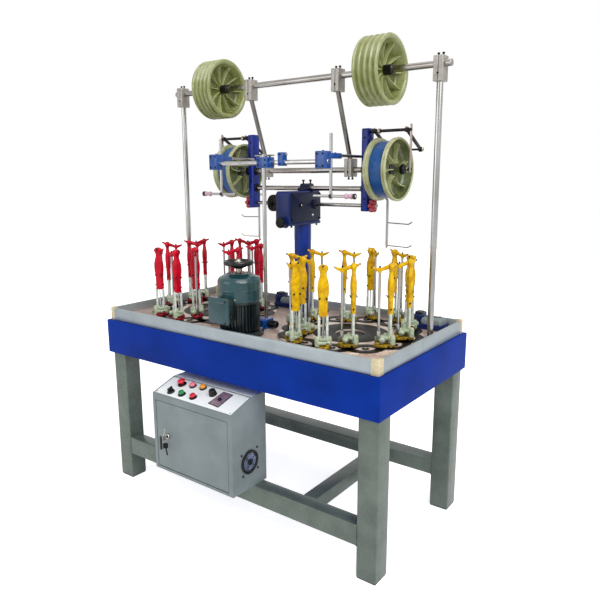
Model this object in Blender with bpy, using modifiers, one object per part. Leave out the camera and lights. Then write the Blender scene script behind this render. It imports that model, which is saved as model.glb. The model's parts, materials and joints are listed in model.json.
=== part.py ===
"""Two-head wire braiding machine on a four-legged bench.

A welded frame carries a gear bed and a machined deck. Two rings of bobbin carriers stand on the deck,
with a vertical flange motor, a column with the take-off gearbox, two take-up wheels and, above them,
a bar with two grooved guide pulleys. A control cabinet stands on the front stretcher.
Metres, +Z up, X along the machine, -Y towards the operator.
"""
import math

import bmesh
import bpy
from mathutils import Matrix, Vector

# Gaps between pieces
GAP = 0.0003            # touching faces
RUN_GAP = 0.0004        # radial play of what turns on a shaft
PIN_SIDES = 20          # facets of a shaft and of the hole it runs in
PULLEY_SIDES = 26       # facets of a guide pulley

# Bench
TABLE_LENGTH = 1.400
TABLE_WIDTH = 0.717
BED_TOP = 0.755
BED_HEIGHT = 0.150
LEG_SIZE = 0.080
LEG_INSET_X = 0.010
LEG_INSET_Y = 0.018
STRETCHER_TOP = 0.204
FRONT_STRETCHER_DEPTH = 0.060
FRONT_STRETCHER_HEIGHT = 0.080
BACK_STRETCHER_DEPTH = 0.080
BACK_STRETCHER_HEIGHT = 0.062
CROSS_MEMBER_FROM_END = 0.330   # from the bed's right end to the member's middle
CROSS_MEMBER_WIDTH = 0.060
CROSS_MEMBER_HEIGHT = 0.055

# Fence and deck
FENCE_INSET = 0.0115
FENCE_THICKNESS = 0.010
FENCE_HEIGHT = 0.053
CORNER_SIZE = 0.030
CORNER_RADIUS = 0.016
CORNER_HEIGHT = 0.056
DECK_THICKNESS = 0.015
DECK_HALF_LENGTH = TABLE_LENGTH / 2 - FENCE_INSET - FENCE_THICKNESS - GAP
DECK_HALF_WIDTH = TABLE_WIDTH / 2 - FENCE_INSET - FENCE_THICKNESS - GAP
DECK_TOP = BED_TOP + GAP + DECK_THICKNESS

# Braiding heads: each track plate keeps this much room to the deck's end and to its long sides
HEAD_X = TABLE_LENGTH * 0.2614
TRACK_END_ROOM = 0.0292
TRACK_SIDE_ROOM = 0.0537
TRACK_RADIUS = min(DECK_HALF_LENGTH - HEAD_X - TRACK_END_ROOM, DECK_HALF_WIDTH - TRACK_SIDE_ROOM)
TRACK_BORE = 0.060
TRACK_THICKNESS = 0.010
TRACK_TOP = DECK_TOP + GAP + TRACK_THICKNESS
# A carrier's plan sizes follow the room that it has on its ring
CARRIER_ROOM = 2 * math.pi * TRACK_RADIUS / 15
FOOT_SIZE = (CARRIER_ROOM * 0.388, CARRIER_ROOM * 0.658, 0.020)
LEVER_SIZE = (CARRIER_ROOM * 0.438, CARRIER_ROOM * 0.590, 0.032)
LEVER_EDGE = CARRIER_ROOM * 0.084
FOOT_SHIFT = CARRIER_ROOM * 0.152      # from the bottle's axis to the middle of the foot
GUIDE_ROD_RADIUS = CARRIER_ROOM * 0.040
GUIDE_ROD_OFFSET = CARRIER_ROOM * 0.120
BOTTLE_BOTTOM = 0.122   # above the track plate
BOTTLE_HEIGHT = 0.183
BOTTLE_FLATNESS = 0.55
# Half width of the moulded bottle, as a share of the room, at fractions of its height from the top down
BOTTLE_OUTLINE = ((0.051, 1.0), (0.101, 0.96), (0.105, 0.87), (0.097, 0.80), (0.164, 0.66), (0.169, 0.46),
                  (0.139, 0.29), (0.135, 0.0))
ARM_REACH = CARRIER_ROOM * 0.422
ARM_RADIUS = CARRIER_ROOM * 0.046
ARM_DROP = 0.014
SPINDLE_REACH = CARRIER_ROOM * 0.337
SPINDLE_RADIUS = CARRIER_ROOM * 0.038
# Carriers on each ring: degrees round the head, share of the track's radius, heading of the arm
RIGHT_CARRIERS = ((-164, 0.87, 60), (-134, 0.677, 87), (-107, 0.94, 155), (-79, 0.961, 121),
                  (-56, 0.74, 217), (-24, 0.872, 217), (8, 0.829, 217), (38, 0.806, 100),
                  (81, 0.961, -10), (104, 0.961, -33), (131, 0.654, 37), (161, 0.916, 37))
LEFT_CARRIERS = ((-164, 0.88, 37), (-110, 0.94, 121), (-83, 0.918, 167), (-76, 0.584, -41),
                 (-14, 0.678, 217), (38, 0.745, 217), (86, 0.961, 250), (106, 0.916, 37),
                 (108, 0.653, 240), (146, 0.889, 217), (169, 0.753, 37))

# Motor, just inside the front fence
MOTOR_RADIUS = 0.080
MOTOR_FLANGE_RADIUS = 0.095
MOTOR_FLANGE_HEIGHT = 0.014
MOTOR_FENCE_ROOM = 0.0017
MOTOR_Y = MOTOR_FLANGE_RADIUS + MOTOR_FENCE_ROOM - DECK_HALF_WIDTH
MOTOR_BODY_TOP = DECK_TOP + 0.1397
FAN_COVER_RADIUS = 0.085
FAN_COVER_HEIGHT = 0.104
FAN_COVER_EDGE = 0.022
TERMINAL_BOX_WIDTH = 0.104
TERMINAL_BOX_HEIGHT = 0.101
TERMINAL_BOX_REACH = 0.133
TERMINAL_BOX_BOTTOM = MOTOR_BODY_TOP - 0.077
ROTOR_RADIUS = 0.007
ROTOR_DEPTH = 0.030      # of the shaft in the motor's upper bearing
HANDWHEEL_RADIUS = 0.059
HANDWHEEL_Z = MOTOR_BODY_TOP + FAN_COVER_HEIGHT + 0.041
HANDWHEEL_THICKNESS = 0.014

# Shafts across the machine, hung over the tops of the bottles
SHAFT_Y = 0.212
AXLE_ABOVE_BOTTLES = 0.3214
AXLE_Z = TRACK_TOP + BOTTLE_BOTTOM + BOTTLE_HEIGHT + AXLE_ABOVE_BOTTLES
AXLE_RADIUS = 0.012
TIE_BAR_Z = AXLE_Z - 0.076
TIE_BAR_RADIUS = 0.0105
DRIVE_Z = AXLE_Z - 0.144
DRIVE_RADIUS = 0.008
INDEX_GEAR_X = -0.190
INDEX_GEAR_RADIUS = 0.038
INDEX_GEAR_THICKNESS = 0.012
KNOB_RADIUS = 0.028
KNOB_LENGTH = 0.020
KNOB_CLEARANCE = 0.005
KNOB_LOBES = 6

# Column and gearbox, set round the drive shaft
COLUMN_Y = SHAFT_Y - 0.032
COLUMN_RADIUS = 0.037
COLUMN_FLANGE_RADIUS = 0.062
COLUMN_FLANGE_HEIGHT = 0.012
GEARBOX_WIDTH = 0.078
GEARBOX_FRONT = SHAFT_Y - 0.172
GEARBOX_BACK = SHAFT_Y + 0.050
GEARBOX_BOTTOM = DRIVE_Z - 0.085
GEARBOX_TOP = DRIVE_Z + 0.058
CAP_WIDTH = 0.030
CAP_LENGTH = 0.100
CAP_HEIGHT = 0.032
BOSS_RADIUS = 0.019
BOSS_LENGTH = 0.012
WORM_BOSS_RADIUS = 0.022
WORM_BOSS_LENGTH = 0.030
WORM_BOSS_Z = GEARBOX_BOTTOM + 0.014

# Side plates and take-up wheels
PLATE_X = 0.288
PLATE_THICKNESS = 0.030
PLATE_DEPTH = 0.046
PLATE_BOTTOM = AXLE_Z - 0.167
PLATE_TOP = AXLE_Z + 0.162
WHEEL_X = PLATE_X + PLATE_THICKNESS + 0.032
WHEEL_WIDTH = 0.1005
WHEEL_RADIUS = 0.1238
WHEEL_FLANGE = 0.020
BAND_DEPTH = 0.015
RIM_DEPTH = 0.028
WHEEL_WEB = 0.024
WHEEL_HUB_RADIUS = 0.024
AXLE_REACH = WHEEL_X + WHEEL_WIDTH + 0.0355
DRIVE_REACH = PLATE_X + PLATE_THICKNESS + 0.030

# Press arms
PRESS_Z = AXLE_Z + 0.149
PRESS_Y = SHAFT_Y - 0.007
PRESS_ROD_RADIUS = 0.006
PRESS_ROD_END = AXLE_REACH + 0.014
PRESS_ARM_X = (WHEEL_X - 0.010, WHEEL_X + WHEEL_WIDTH + 0.0295)
PRESS_ARM_WIDTH = 0.008
PRESS_ARM_DEPTH = 0.012
PRESS_PIN_RADIUS = 0.004
PRESS_ROLLER_RADIUS = 0.011
PRESS_ROLLER_CLEAR = 0.005  # between the roller and the wheel's flanges
PRESS_ROLLER_Y = SHAFT_Y + 0.1152

# Top bar, posts and struts
TOP_BAR_Y = SHAFT_Y - 0.101
TOP_BAR_Z = AXLE_Z + 0.3573
TOP_BAR_RADIUS = 0.0122
POST_X = TABLE_LENGTH / 2 - 0.050
TOP_BAR_REACH = POST_X + 0.042
POST_RADIUS = 0.0115
CLAMP_WIDTH = 0.036
CLAMP_DEPTH = 0.048
CLAMP_HEIGHT = 0.086
CLAMP_ABOVE_BAR = 0.026
STRUT_X = PLATE_X - 0.064
STRUT_RADIUS = 0.0095
STRUT_BLOCK_HEIGHT = 0.074

# Guide pulleys
PULLEY_X = WHEEL_X + 0.0095
PULLEY_WIDTH = 0.105
PULLEY_RADIUS = 0.1257
PULLEY_RIDGES = 5
PULLEY_GROOVE_DEPTH = 0.013
PULLEY_RIM = 0.014
PULLEY_WEB = 0.020
PULLEY_HUB_RADIUS = 0.019

# Front guide frame, between the motor and the gearbox
FRONT_ROD_Y = MOTOR_Y + 0.176
FRONT_ROD_Z = AXLE_Z + 0.029
FRONT_ROD_RADIUS = 0.009
CENTRE_ROD_X = 0.004
CENTRE_ROD_RADIUS = 0.008
CENTRE_CLAMP_SIZE = (0.056, 0.048, 0.042)
FOOT_BLOCK_SIZE = (0.052, 0.066, 0.036)
FOOT_KNOB_RADIUS = 0.014
FOOT_KNOB_LENGTH = 0.048
FOOT_KNOB_Y = FRONT_ROD_Y - 0.038
GUIDE_X = PLATE_X - 0.013
GUIDE_CLAMP_SIZE = (0.046, 0.042, 0.064)
FRONT_ROD_REACH = GUIDE_X + 0.027
KNUCKLE_X = GUIDE_X + 0.010
KNUCKLE_SIZE = (0.028, 0.079, 0.021)
KNUCKLE_Z = FRONT_ROD_Z + 0.0215
GUIDE_POST_Y = FRONT_ROD_Y + 0.038
GUIDE_POST_RADIUS = 0.006
GUIDE_POST_TOP = FRONT_ROD_Z + 0.104
GUIDE_POST_BOTTOM = FRONT_ROD_Z - 0.136
GUIDE_ARM_Z = GUIDE_POST_BOTTOM + 0.008
GUIDE_ARM_INNER = KNUCKLE_X - 0.080
GUIDE_ARM_OUTER = KNUCKLE_X + 0.113
GUIDE_ARM_RADIUS = 0.005
GUIDE_STAY_Z = FRONT_ROD_Z + 0.023
GUIDE_STAY_RADIUS = 0.006

# Covered brackets on the deck, placed the same way behind each head
BRACKET_LENGTH = 0.120
BRACKET_DEPTH = 0.085
BRACKET_END_ROOM = 0.0462
BRACKET_BACK_ROOM = 0.0067
BRACKET_OFFSET = DECK_HALF_LENGTH - HEAD_X - BRACKET_END_ROOM - BRACKET_LENGTH
BRACKET_Y = DECK_HALF_WIDTH - BRACKET_BACK_ROOM - BRACKET_DEPTH
BRACKET_HEIGHT = 0.068
BRACKET_FRONT_HEIGHT = 0.030
BRACKET_SLOPE_DEPTH = 0.028

# Hook rods behind the wheels
HOOK_X = PLATE_X + 0.064
HOOK_Y = SHAFT_Y + 0.088
HOOK_SEAT_Z = AXLE_Z - 0.107
HOOK_BOTTOM = AXLE_Z - 0.323
HOOK_ROD_RADIUS = 0.005
HOOK_WIRE_RADIUS = 0.0018
HOOK_WIRE_LENGTH = 0.085
HOOK_WIRE_HEIGHTS = (0.010, 0.106)      # above the rod's lower end

# Control cabinet, standing on the front stretcher
CABINET_LEFT = -0.286
CABINET_RIGHT = 0.147
CABINET_FRONT = -TABLE_WIDTH / 2 - 0.1015
CABINET_BACK = -TABLE_WIDTH / 2 + 0.0915
CABINET_FRONT_TOP = STRETCHER_TOP + 0.324
CABINET_TOP = CABINET_FRONT_TOP + 0.040
PANEL_DEPTH = 0.118
SHEET = 0.003
DOOR_MARGINS = (0.015, 0.021, 0.011, 0.026)   # left, right, bottom, top
DOOR_GAP = 0.0008
DOOR_THICKNESS = 0.014
LOCK_RADIUS = 0.011
LOCK_INSET = 0.068
LOCK_Z = STRETCHER_TOP + 0.156
KEY_REACH = 0.030
FAN_Y = CABINET_FRONT + 0.094
FAN_Z = STRETCHER_TOP + 0.111
FAN_RADIUS = 0.047
FAN_THICKNESS = 0.008

# Controls on the sloping panel: distance from the cabinet's left side, then up the slope from its front edge
CONTROL_RADIUS = 0.014
CONTROL_HEIGHT = 0.020
CONTROL_STEM_RADIUS = 0.006
SELECTOR_PLACE = (0.079, 0.031)
START_PLACE = (0.139, 0.0345)
HALT_PLACE = (0.201, 0.036)
STOP_PLACE = (0.088, 0.087)
SPEED_PLACE = (0.269, 0.080)

# The table stands behind the cabinet, so its centre is moved back from the middle of the footprint
FRONT_REACH = -CABINET_FRONT + KEY_REACH
TABLE_Y = (FRONT_REACH - TABLE_WIDTH / 2) / 2

MATERIALS = {
    "frame_paint": ((0.36, 0.41, 0.38), 0.45, 0.1),
    "blue_paint": ((0.02, 0.06, 0.40), 0.35, 0.0),
    "deck_steel": ((0.72, 0.60, 0.54), 0.40, 0.6),
    "fence_aluminium": ((0.62, 0.65, 0.67), 0.35, 0.7),
    "cream_plastic": ((0.78, 0.72, 0.52), 0.45, 0.0),
    "carrier_red": ((0.70, 0.01, 0.03), 0.35, 0.0),
    "carrier_yellow": ((0.85, 0.60, 0.01), 0.35, 0.0),
    "motor_paint": ((0.03, 0.12, 0.13), 0.40, 0.2),
    "black_plastic": ((0.01, 0.01, 0.01), 0.40, 0.0),
    "column_paint": ((0.01, 0.06, 0.45), 0.35, 0.1),
    "shaft_steel": ((0.60, 0.60, 0.58), 0.25, 1.0),
    "clamp_aluminium": ((0.55, 0.55, 0.53), 0.45, 0.9),
    "wheel_plastic": ((0.55, 0.60, 0.30), 0.35, 0.0),
    "knob_red": ((0.55, 0.00, 0.02), 0.30, 0.0),
    "arm_black": ((0.02, 0.02, 0.02), 0.45, 0.6),
    "cabinet_paint": ((0.50, 0.54, 0.55), 0.45, 0.1),
    "button_red": ((0.80, 0.05, 0.15), 0.30, 0.0),
    "button_green": ((0.02, 0.45, 0.20), 0.30, 0.0),
}


def clear_scene():
    """Empty the file, so that a second run gives the same result."""
    for obj in list(bpy.data.objects):
        bpy.data.objects.remove(obj, do_unlink=True)
    for collection in list(bpy.data.collections):
        bpy.data.collections.remove(collection)


def make_collections():
    """One collection for the machine's parts and one for cutters and joined-in shapes."""
    parts = bpy.data.collections.new("wire_braiding_machine")
    tools = bpy.data.collections.new("cutters")
    bpy.context.scene.collection.children.link(parts)
    bpy.context.scene.collection.children.link(tools)
    return parts, tools


def make_materials():
    """A Principled material for each finish."""
    made = {}
    for name, (colour, roughness, metallic) in MATERIALS.items():
        material = bpy.data.materials.new(name)
        material.use_nodes = True
        shader = material.node_tree.nodes["Principled BSDF"]
        shader.inputs["Base Color"].default_value = (*colour, 1.0)
        shader.inputs["Roughness"].default_value = roughness
        shader.inputs["Metallic"].default_value = metallic
        made[name] = material
    return made


clear_scene()
PARTS, TOOLS = make_collections()
FINISH = make_materials()


def tabled(point):
    """A point given from the table's centre, in the machine's own frame."""
    return Vector((point[0], point[1] + TABLE_Y, point[2]))


def new_object(name, bm, origin=(0, 0, 0)):
    """Turn a bmesh, built round its own origin, into an object standing at origin."""
    mesh = bpy.data.meshes.new(name)
    bmesh.ops.recalc_face_normals(bm, faces=bm.faces)
    bm.to_mesh(mesh)
    bm.free()
    obj = bpy.data.objects.new(name, mesh)
    obj.location = origin
    TOOLS.objects.link(obj)
    obj.hide_render = True
    obj.display_type = 'WIRE'
    return obj


def box(low, high):
    """A block between two corners, given from the table's centre."""
    size = [b - a for a, b in zip(low, high)]
    middle = [(a + b) / 2 for a, b in zip(low, high)]
    bm = bmesh.new()
    bmesh.ops.create_cube(bm, size=1.0)
    bmesh.ops.scale(bm, vec=size, verts=bm.verts)
    return new_object("block", bm, tabled(middle))


def block(centre, size):
    """A block of the given size round a centre."""
    low = [c - s / 2 for c, s in zip(centre, size)]
    high = [c + s / 2 for c, s in zip(centre, size)]
    return box(low, high)


def rod(start, end, radius, sides=PIN_SIDES):
    """A round bar between two points, given from the table's centre."""
    a, b = tabled(start), tabled(end)
    bm = bmesh.new()
    bmesh.ops.create_cone(bm, cap_ends=True, segments=sides, radius1=radius, radius2=radius,
                          depth=(b - a).length)
    turn = (b - a).to_track_quat('Z', 'Y').to_matrix().to_4x4()
    bmesh.ops.transform(bm, matrix=turn, verts=bm.verts)
    return new_object("rod", bm, (a + b) / 2)


def turned(profile, centre, axis='Z', sides=32):
    """A turned solid: profile holds (radius, height) pairs, from the top down the outside."""
    mesh = bpy.data.meshes.new("turned")
    points = [(radius, 0.0, height) for radius, height in profile]
    edges = [(i, i + 1) for i in range(len(points) - 1)]
    mesh.from_pydata(points, edges, [])
    obj = bpy.data.objects.new("turned", mesh)
    TOOLS.objects.link(obj)
    screw = obj.modifiers.new("Turn", 'SCREW')
    screw.axis = 'Z'
    screw.steps = sides
    screw.render_steps = sides
    screw.use_merge_vertices = True
    screw.merge_threshold = 0.00005
    obj.location = tabled(centre)
    if axis == 'X':
        obj.rotation_euler = (0, math.pi / 2, 0)
    if axis == 'Y':
        obj.rotation_euler = (-math.pi / 2, 0, 0)
    obj.hide_render = True
    obj.display_type = 'WIRE'
    return obj


def ring_profile(outline, bore):
    """Close an outer outline along a bore, so that it turns into a ring."""
    first, last = outline[0], outline[-1]
    return [(bore, first[1]), *outline, (bore, last[1]), (bore, first[1])]


def combine(target, others, operation):
    """Add or cut other shapes with Boolean modifiers, which stay on the target."""
    for other in others:
        modifier = target.modifiers.new(operation.title(), 'BOOLEAN')
        modifier.operation = operation
        modifier.solver = 'EXACT'
        modifier.object = other
    return target


def join(target, *others):
    """Fuse shapes that pass into each other."""
    return combine(target, others, 'UNION')


def cut(target, *others):
    """Cut shapes away."""
    return combine(target, others, 'DIFFERENCE')


def round_edges(target, width, segments=2):
    """Rounded edges on a plain shape."""
    bevel = target.modifiers.new("Rounded edges", 'BEVEL')
    bevel.width = width
    bevel.segments = segments
    bevel.limit_method = 'ANGLE'
    return target


def finish(target, name, material, pivot=None):
    """Name a shape as a part, give it its material and, if it moves, put its origin on its axis."""
    target.name = name
    target.data.name = name
    TOOLS.objects.unlink(target)
    PARTS.objects.link(target)
    target.hide_render = False
    target.display_type = 'TEXTURED'
    target.data.materials.clear()
    target.data.materials.append(FINISH[material])
    if pivot is not None:
        bpy.context.view_layer.update()
        point = tabled(pivot)
        shift = target.matrix_world.inverted() @ point
        target.data.transform(Matrix.Translation(-shift))
        target.location = point
    return target


def add_bench():
    """Legs, stretchers, cross member and the closed gear bed."""
    leg_x = TABLE_LENGTH / 2 - LEG_INSET_X
    leg_y = TABLE_WIDTH / 2 - LEG_INSET_Y
    under = BED_TOP - BED_HEIGHT - GAP
    for side, sx in (("left", -1), ("right", 1)):
        for row, sy in (("front", -1), ("back", 1)):
            centre = (sx * (leg_x - LEG_SIZE / 2), sy * (leg_y - LEG_SIZE / 2), under / 2)
            finish(block(centre, (LEG_SIZE, LEG_SIZE, under)), f"leg_{row}_{side}", "frame_paint")
    span = 2 * (leg_x - LEG_SIZE - GAP)
    front = block((0, -leg_y + FRONT_STRETCHER_DEPTH / 2, STRETCHER_TOP - FRONT_STRETCHER_HEIGHT / 2),
                  (span, FRONT_STRETCHER_DEPTH, FRONT_STRETCHER_HEIGHT))
    finish(front, "front_stretcher", "frame_paint")
    back = block((0, leg_y - BACK_STRETCHER_DEPTH / 2, STRETCHER_TOP - BACK_STRETCHER_HEIGHT / 2),
                 (span, BACK_STRETCHER_DEPTH, BACK_STRETCHER_HEIGHT))
    finish(back, "back_stretcher", "frame_paint")
    member_x = TABLE_LENGTH / 2 - CROSS_MEMBER_FROM_END
    low = (member_x - CROSS_MEMBER_WIDTH / 2, -leg_y + FRONT_STRETCHER_DEPTH + GAP,
           STRETCHER_TOP - CROSS_MEMBER_HEIGHT)
    high = (member_x + CROSS_MEMBER_WIDTH / 2, leg_y - BACK_STRETCHER_DEPTH - GAP, STRETCHER_TOP)
    finish(box(low, high), "cross_member", "frame_paint")
    bed = block((0, 0, BED_TOP - BED_HEIGHT / 2), (TABLE_LENGTH, TABLE_WIDTH, BED_HEIGHT))
    finish(bed, "gear_bed", "blue_paint")


def add_fence():
    """Aluminium fence round the deck, with a rounded plastic piece at each corner."""
    out_x = TABLE_LENGTH / 2 - FENCE_INSET
    out_y = TABLE_WIDTH / 2 - FENCE_INSET
    base = BED_TOP + GAP
    run_x = out_x - CORNER_SIZE - GAP
    run_y = out_y - CORNER_SIZE - GAP
    for row, sy in (("front", -1), ("back", 1)):
        centre = (0, sy * (out_y - FENCE_THICKNESS / 2), base + FENCE_HEIGHT / 2)
        finish(block(centre, (2 * run_x, FENCE_THICKNESS, FENCE_HEIGHT)), f"fence_{row}", "fence_aluminium")
    for side, sx in (("left", -1), ("right", 1)):
        centre = (sx * (out_x - FENCE_THICKNESS / 2), 0, base + FENCE_HEIGHT / 2)
        finish(block(centre, (FENCE_THICKNESS, 2 * run_y, FENCE_HEIGHT)), f"fence_{side}", "fence_aluminium")
        for row, sy in (("front", -1), ("back", 1)):
            add_fence_corner(f"fence_corner_{row}_{side}", sx, sy, out_x, out_y, base)


def add_fence_corner(name, sx, sy, out_x, out_y, base):
    """A square post with its outer upright edge rounded and its inner corner cut for the deck."""
    bm = bmesh.new()
    bmesh.ops.create_cube(bm, size=1.0)
    bmesh.ops.scale(bm, vec=(CORNER_SIZE, CORNER_SIZE, CORNER_HEIGHT), verts=bm.verts)
    upright = [e for e in bm.edges
               if all(v.co.x * sx > 0 and v.co.y * sy > 0 for v in e.verts)]
    bmesh.ops.bevel(bm, geom=upright, offset=CORNER_RADIUS, segments=4, affect='EDGES', profile=0.5)
    centre = (sx * (out_x - CORNER_SIZE / 2), sy * (out_y - CORNER_SIZE / 2), base + CORNER_HEIGHT / 2)
    post = new_object(name, bm, tabled(centre))
    inner = CORNER_SIZE - FENCE_THICKNESS
    notch = block((sx * (out_x - FENCE_THICKNESS - inner), sy * (out_y - FENCE_THICKNESS - inner),
                   base + CORNER_HEIGHT / 2), (2 * inner, 2 * inner, 2 * CORNER_HEIGHT))
    finish(cut(post, notch), name, "cream_plastic")


def add_deck():
    """The machined plate inside the fence."""
    deck = box((-DECK_HALF_LENGTH, -DECK_HALF_WIDTH, BED_TOP + GAP),
               (DECK_HALF_LENGTH, DECK_HALF_WIDTH, DECK_TOP))
    finish(deck, "deck_plate", "deck_steel")


def make_carrier():
    """One bobbin carrier: foot, levers, two rods, flat moulded bottle, arm towards -Y and spindle."""
    foot_mid = FOOT_SIZE[2] / 2 - 0.002
    foot = block((0, -FOOT_SHIFT, foot_mid), FOOT_SIZE)
    lever = block((0, -FOOT_SHIFT, FOOT_SIZE[2] + LEVER_SIZE[2] / 2 - 0.004), LEVER_SIZE)
    round_edges(lever, LEVER_EDGE, 1)
    bottle = turned([(0, BOTTLE_BOTTOM + BOTTLE_HEIGHT),
                     *((CARRIER_ROOM * half, BOTTLE_BOTTOM + BOTTLE_HEIGHT * part) for half, part in BOTTLE_OUTLINE),
                     (0, BOTTLE_BOTTOM)], (0, 0, 0), sides=8)
    bottle.scale = (1.0, BOTTLE_FLATNESS, 1.0)
    lever_top = FOOT_SIZE[2] + LEVER_SIZE[2] - 0.008
    rods = [rod((s * GUIDE_ROD_OFFSET, 0, lever_top), (s * GUIDE_ROD_OFFSET, 0, BOTTLE_BOTTOM + 0.01),
                GUIDE_ROD_RADIUS, sides=6) for s in (-1, 1)]
    neck_z = BOTTLE_BOTTOM + BOTTLE_HEIGHT * 0.93
    arm = rod((0, 0, neck_z), (0, -ARM_REACH, neck_z - ARM_DROP), ARM_RADIUS, sides=6)
    spindle = rod((0, -SPINDLE_REACH, neck_z - ARM_DROP * 0.7), (0, -SPINDLE_REACH, lever_top),
                  SPINDLE_RADIUS, sides=6)
    others = (lever, bottle, *rods, arm, spindle)
    join(foot, *others)
    bpy.context.view_layer.update()
    mesh = bpy.data.meshes.new_from_object(foot.evaluated_get(bpy.context.evaluated_depsgraph_get()))
    mesh.transform(foot.matrix_world)
    mesh.transform(Matrix.Translation((0, -TABLE_Y, 0)))
    for obj in (foot, *others):
        bpy.data.objects.remove(obj, do_unlink=True)
    mesh.name = "carrier"
    return mesh


def add_head(side, sx, places, carrier_mesh, material):
    """A track plate with its ring of carriers standing in the track."""
    thickness_low = DECK_TOP + GAP
    plate = turned(ring_profile([(TRACK_RADIUS, TRACK_TOP), (TRACK_RADIUS, thickness_low)], TRACK_BORE),
                   (sx * HEAD_X, 0, 0), sides=48)
    ring = bpy.data.collections.new(f"{side}_carriers")
    TOOLS.children.link(ring)
    for angle, share, heading in places:
        turn = math.radians(angle)
        radius = share * TRACK_RADIUS
        carrier = bpy.data.objects.new("carrier", carrier_mesh)
        carrier.location = tabled((sx * HEAD_X + radius * math.cos(turn), radius * math.sin(turn), TRACK_TOP))
        carrier.rotation_euler = (0, 0, math.radians(heading + 90))
        carrier.hide_render = True
        carrier.display_type = 'WIRE'
        ring.objects.link(carrier)
    union = plate.modifiers.new("Carriers", 'BOOLEAN')
    union.operation = 'UNION'
    union.solver = 'EXACT'
    union.operand_type = 'COLLECTION'
    union.collection = ring
    finish(plate, f"{side}_head", material)


def add_motor():
    """Vertical flange motor with its terminal box towards the operator and a handwheel on its shaft."""
    base = DECK_TOP + GAP
    flange_top = base + MOTOR_FLANGE_HEIGHT
    body = turned([(0, MOTOR_BODY_TOP), (MOTOR_RADIUS, MOTOR_BODY_TOP), (MOTOR_RADIUS, flange_top),
                   (MOTOR_FLANGE_RADIUS, flange_top), (MOTOR_FLANGE_RADIUS, base), (0, base)],
                  (0, MOTOR_Y, 0))
    bearing = rod((0, MOTOR_Y, MOTOR_BODY_TOP - ROTOR_DEPTH - 0.001), (0, MOTOR_Y, MOTOR_BODY_TOP + 0.01),
                  ROTOR_RADIUS + RUN_GAP)
    cut(body, bearing)
    finish(body, "motor_body", "motor_paint")
    cover_low = MOTOR_BODY_TOP + GAP
    cover_top = cover_low + FAN_COVER_HEIGHT
    cover = turned(ring_profile([(FAN_COVER_RADIUS - FAN_COVER_EDGE, cover_top),
                                 (FAN_COVER_RADIUS - FAN_COVER_EDGE * 0.3, cover_top - FAN_COVER_EDGE * 0.3),
                                 (FAN_COVER_RADIUS, cover_top - FAN_COVER_EDGE),
                                 (FAN_COVER_RADIUS, cover_low)], ROTOR_RADIUS + 0.005), (0, MOTOR_Y, 0))
    finish(cover, "fan_cover", "motor_paint")
    half = TERMINAL_BOX_WIDTH / 2
    terminal = box((-half, MOTOR_Y - TERMINAL_BOX_REACH, TERMINAL_BOX_BOTTOM),
                   (half, MOTOR_Y - MOTOR_RADIUS * 0.6, TERMINAL_BOX_BOTTOM + TERMINAL_BOX_HEIGHT))
    cover_bore, body_bore = FAN_COVER_RADIUS + GAP, MOTOR_RADIUS + GAP
    step = MOTOR_BODY_TOP - GAP
    around = turned([(0, cover_top + 0.1), (cover_bore, cover_top + 0.1), (cover_bore, step),
                     (body_bore, step), (body_bore, base), (0, base)], (0, MOTOR_Y, 0))
    finish(cut(terminal, around), "terminal_box", "motor_paint")
    wheel_low = HANDWHEEL_Z - HANDWHEEL_THICKNESS / 2
    wheel_top = HANDWHEEL_Z + HANDWHEEL_THICKNESS / 2
    wheel = turned([(0, wheel_top + 0.008), (0.016, wheel_top + 0.008), (0.018, wheel_top - 0.004),
                    (HANDWHEEL_RADIUS - 0.012, wheel_top - 0.002),
                    (HANDWHEEL_RADIUS - 0.005, wheel_top + 0.002),
                    (HANDWHEEL_RADIUS, HANDWHEEL_Z), (HANDWHEEL_RADIUS - 0.008, wheel_low),
                    (0.022, wheel_low - 0.004), (0.014, cover_top + 0.006), (ROTOR_RADIUS, cover_top + 0.005),
                    (ROTOR_RADIUS, MOTOR_BODY_TOP - ROTOR_DEPTH), (0, MOTOR_BODY_TOP - ROTOR_DEPTH)],
                   (0, MOTOR_Y, 0), sides=24)
    finish(wheel, "motor_handwheel", "black_plastic", pivot=(0, MOTOR_Y, HANDWHEEL_Z))


def shaft_hole(x_low, x_high, z, radius, play):
    """A cutter for a shaft along X at the shafts' Y."""
    return rod((x_low, SHAFT_Y, z), (x_high, SHAFT_Y, z), radius + play)


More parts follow.
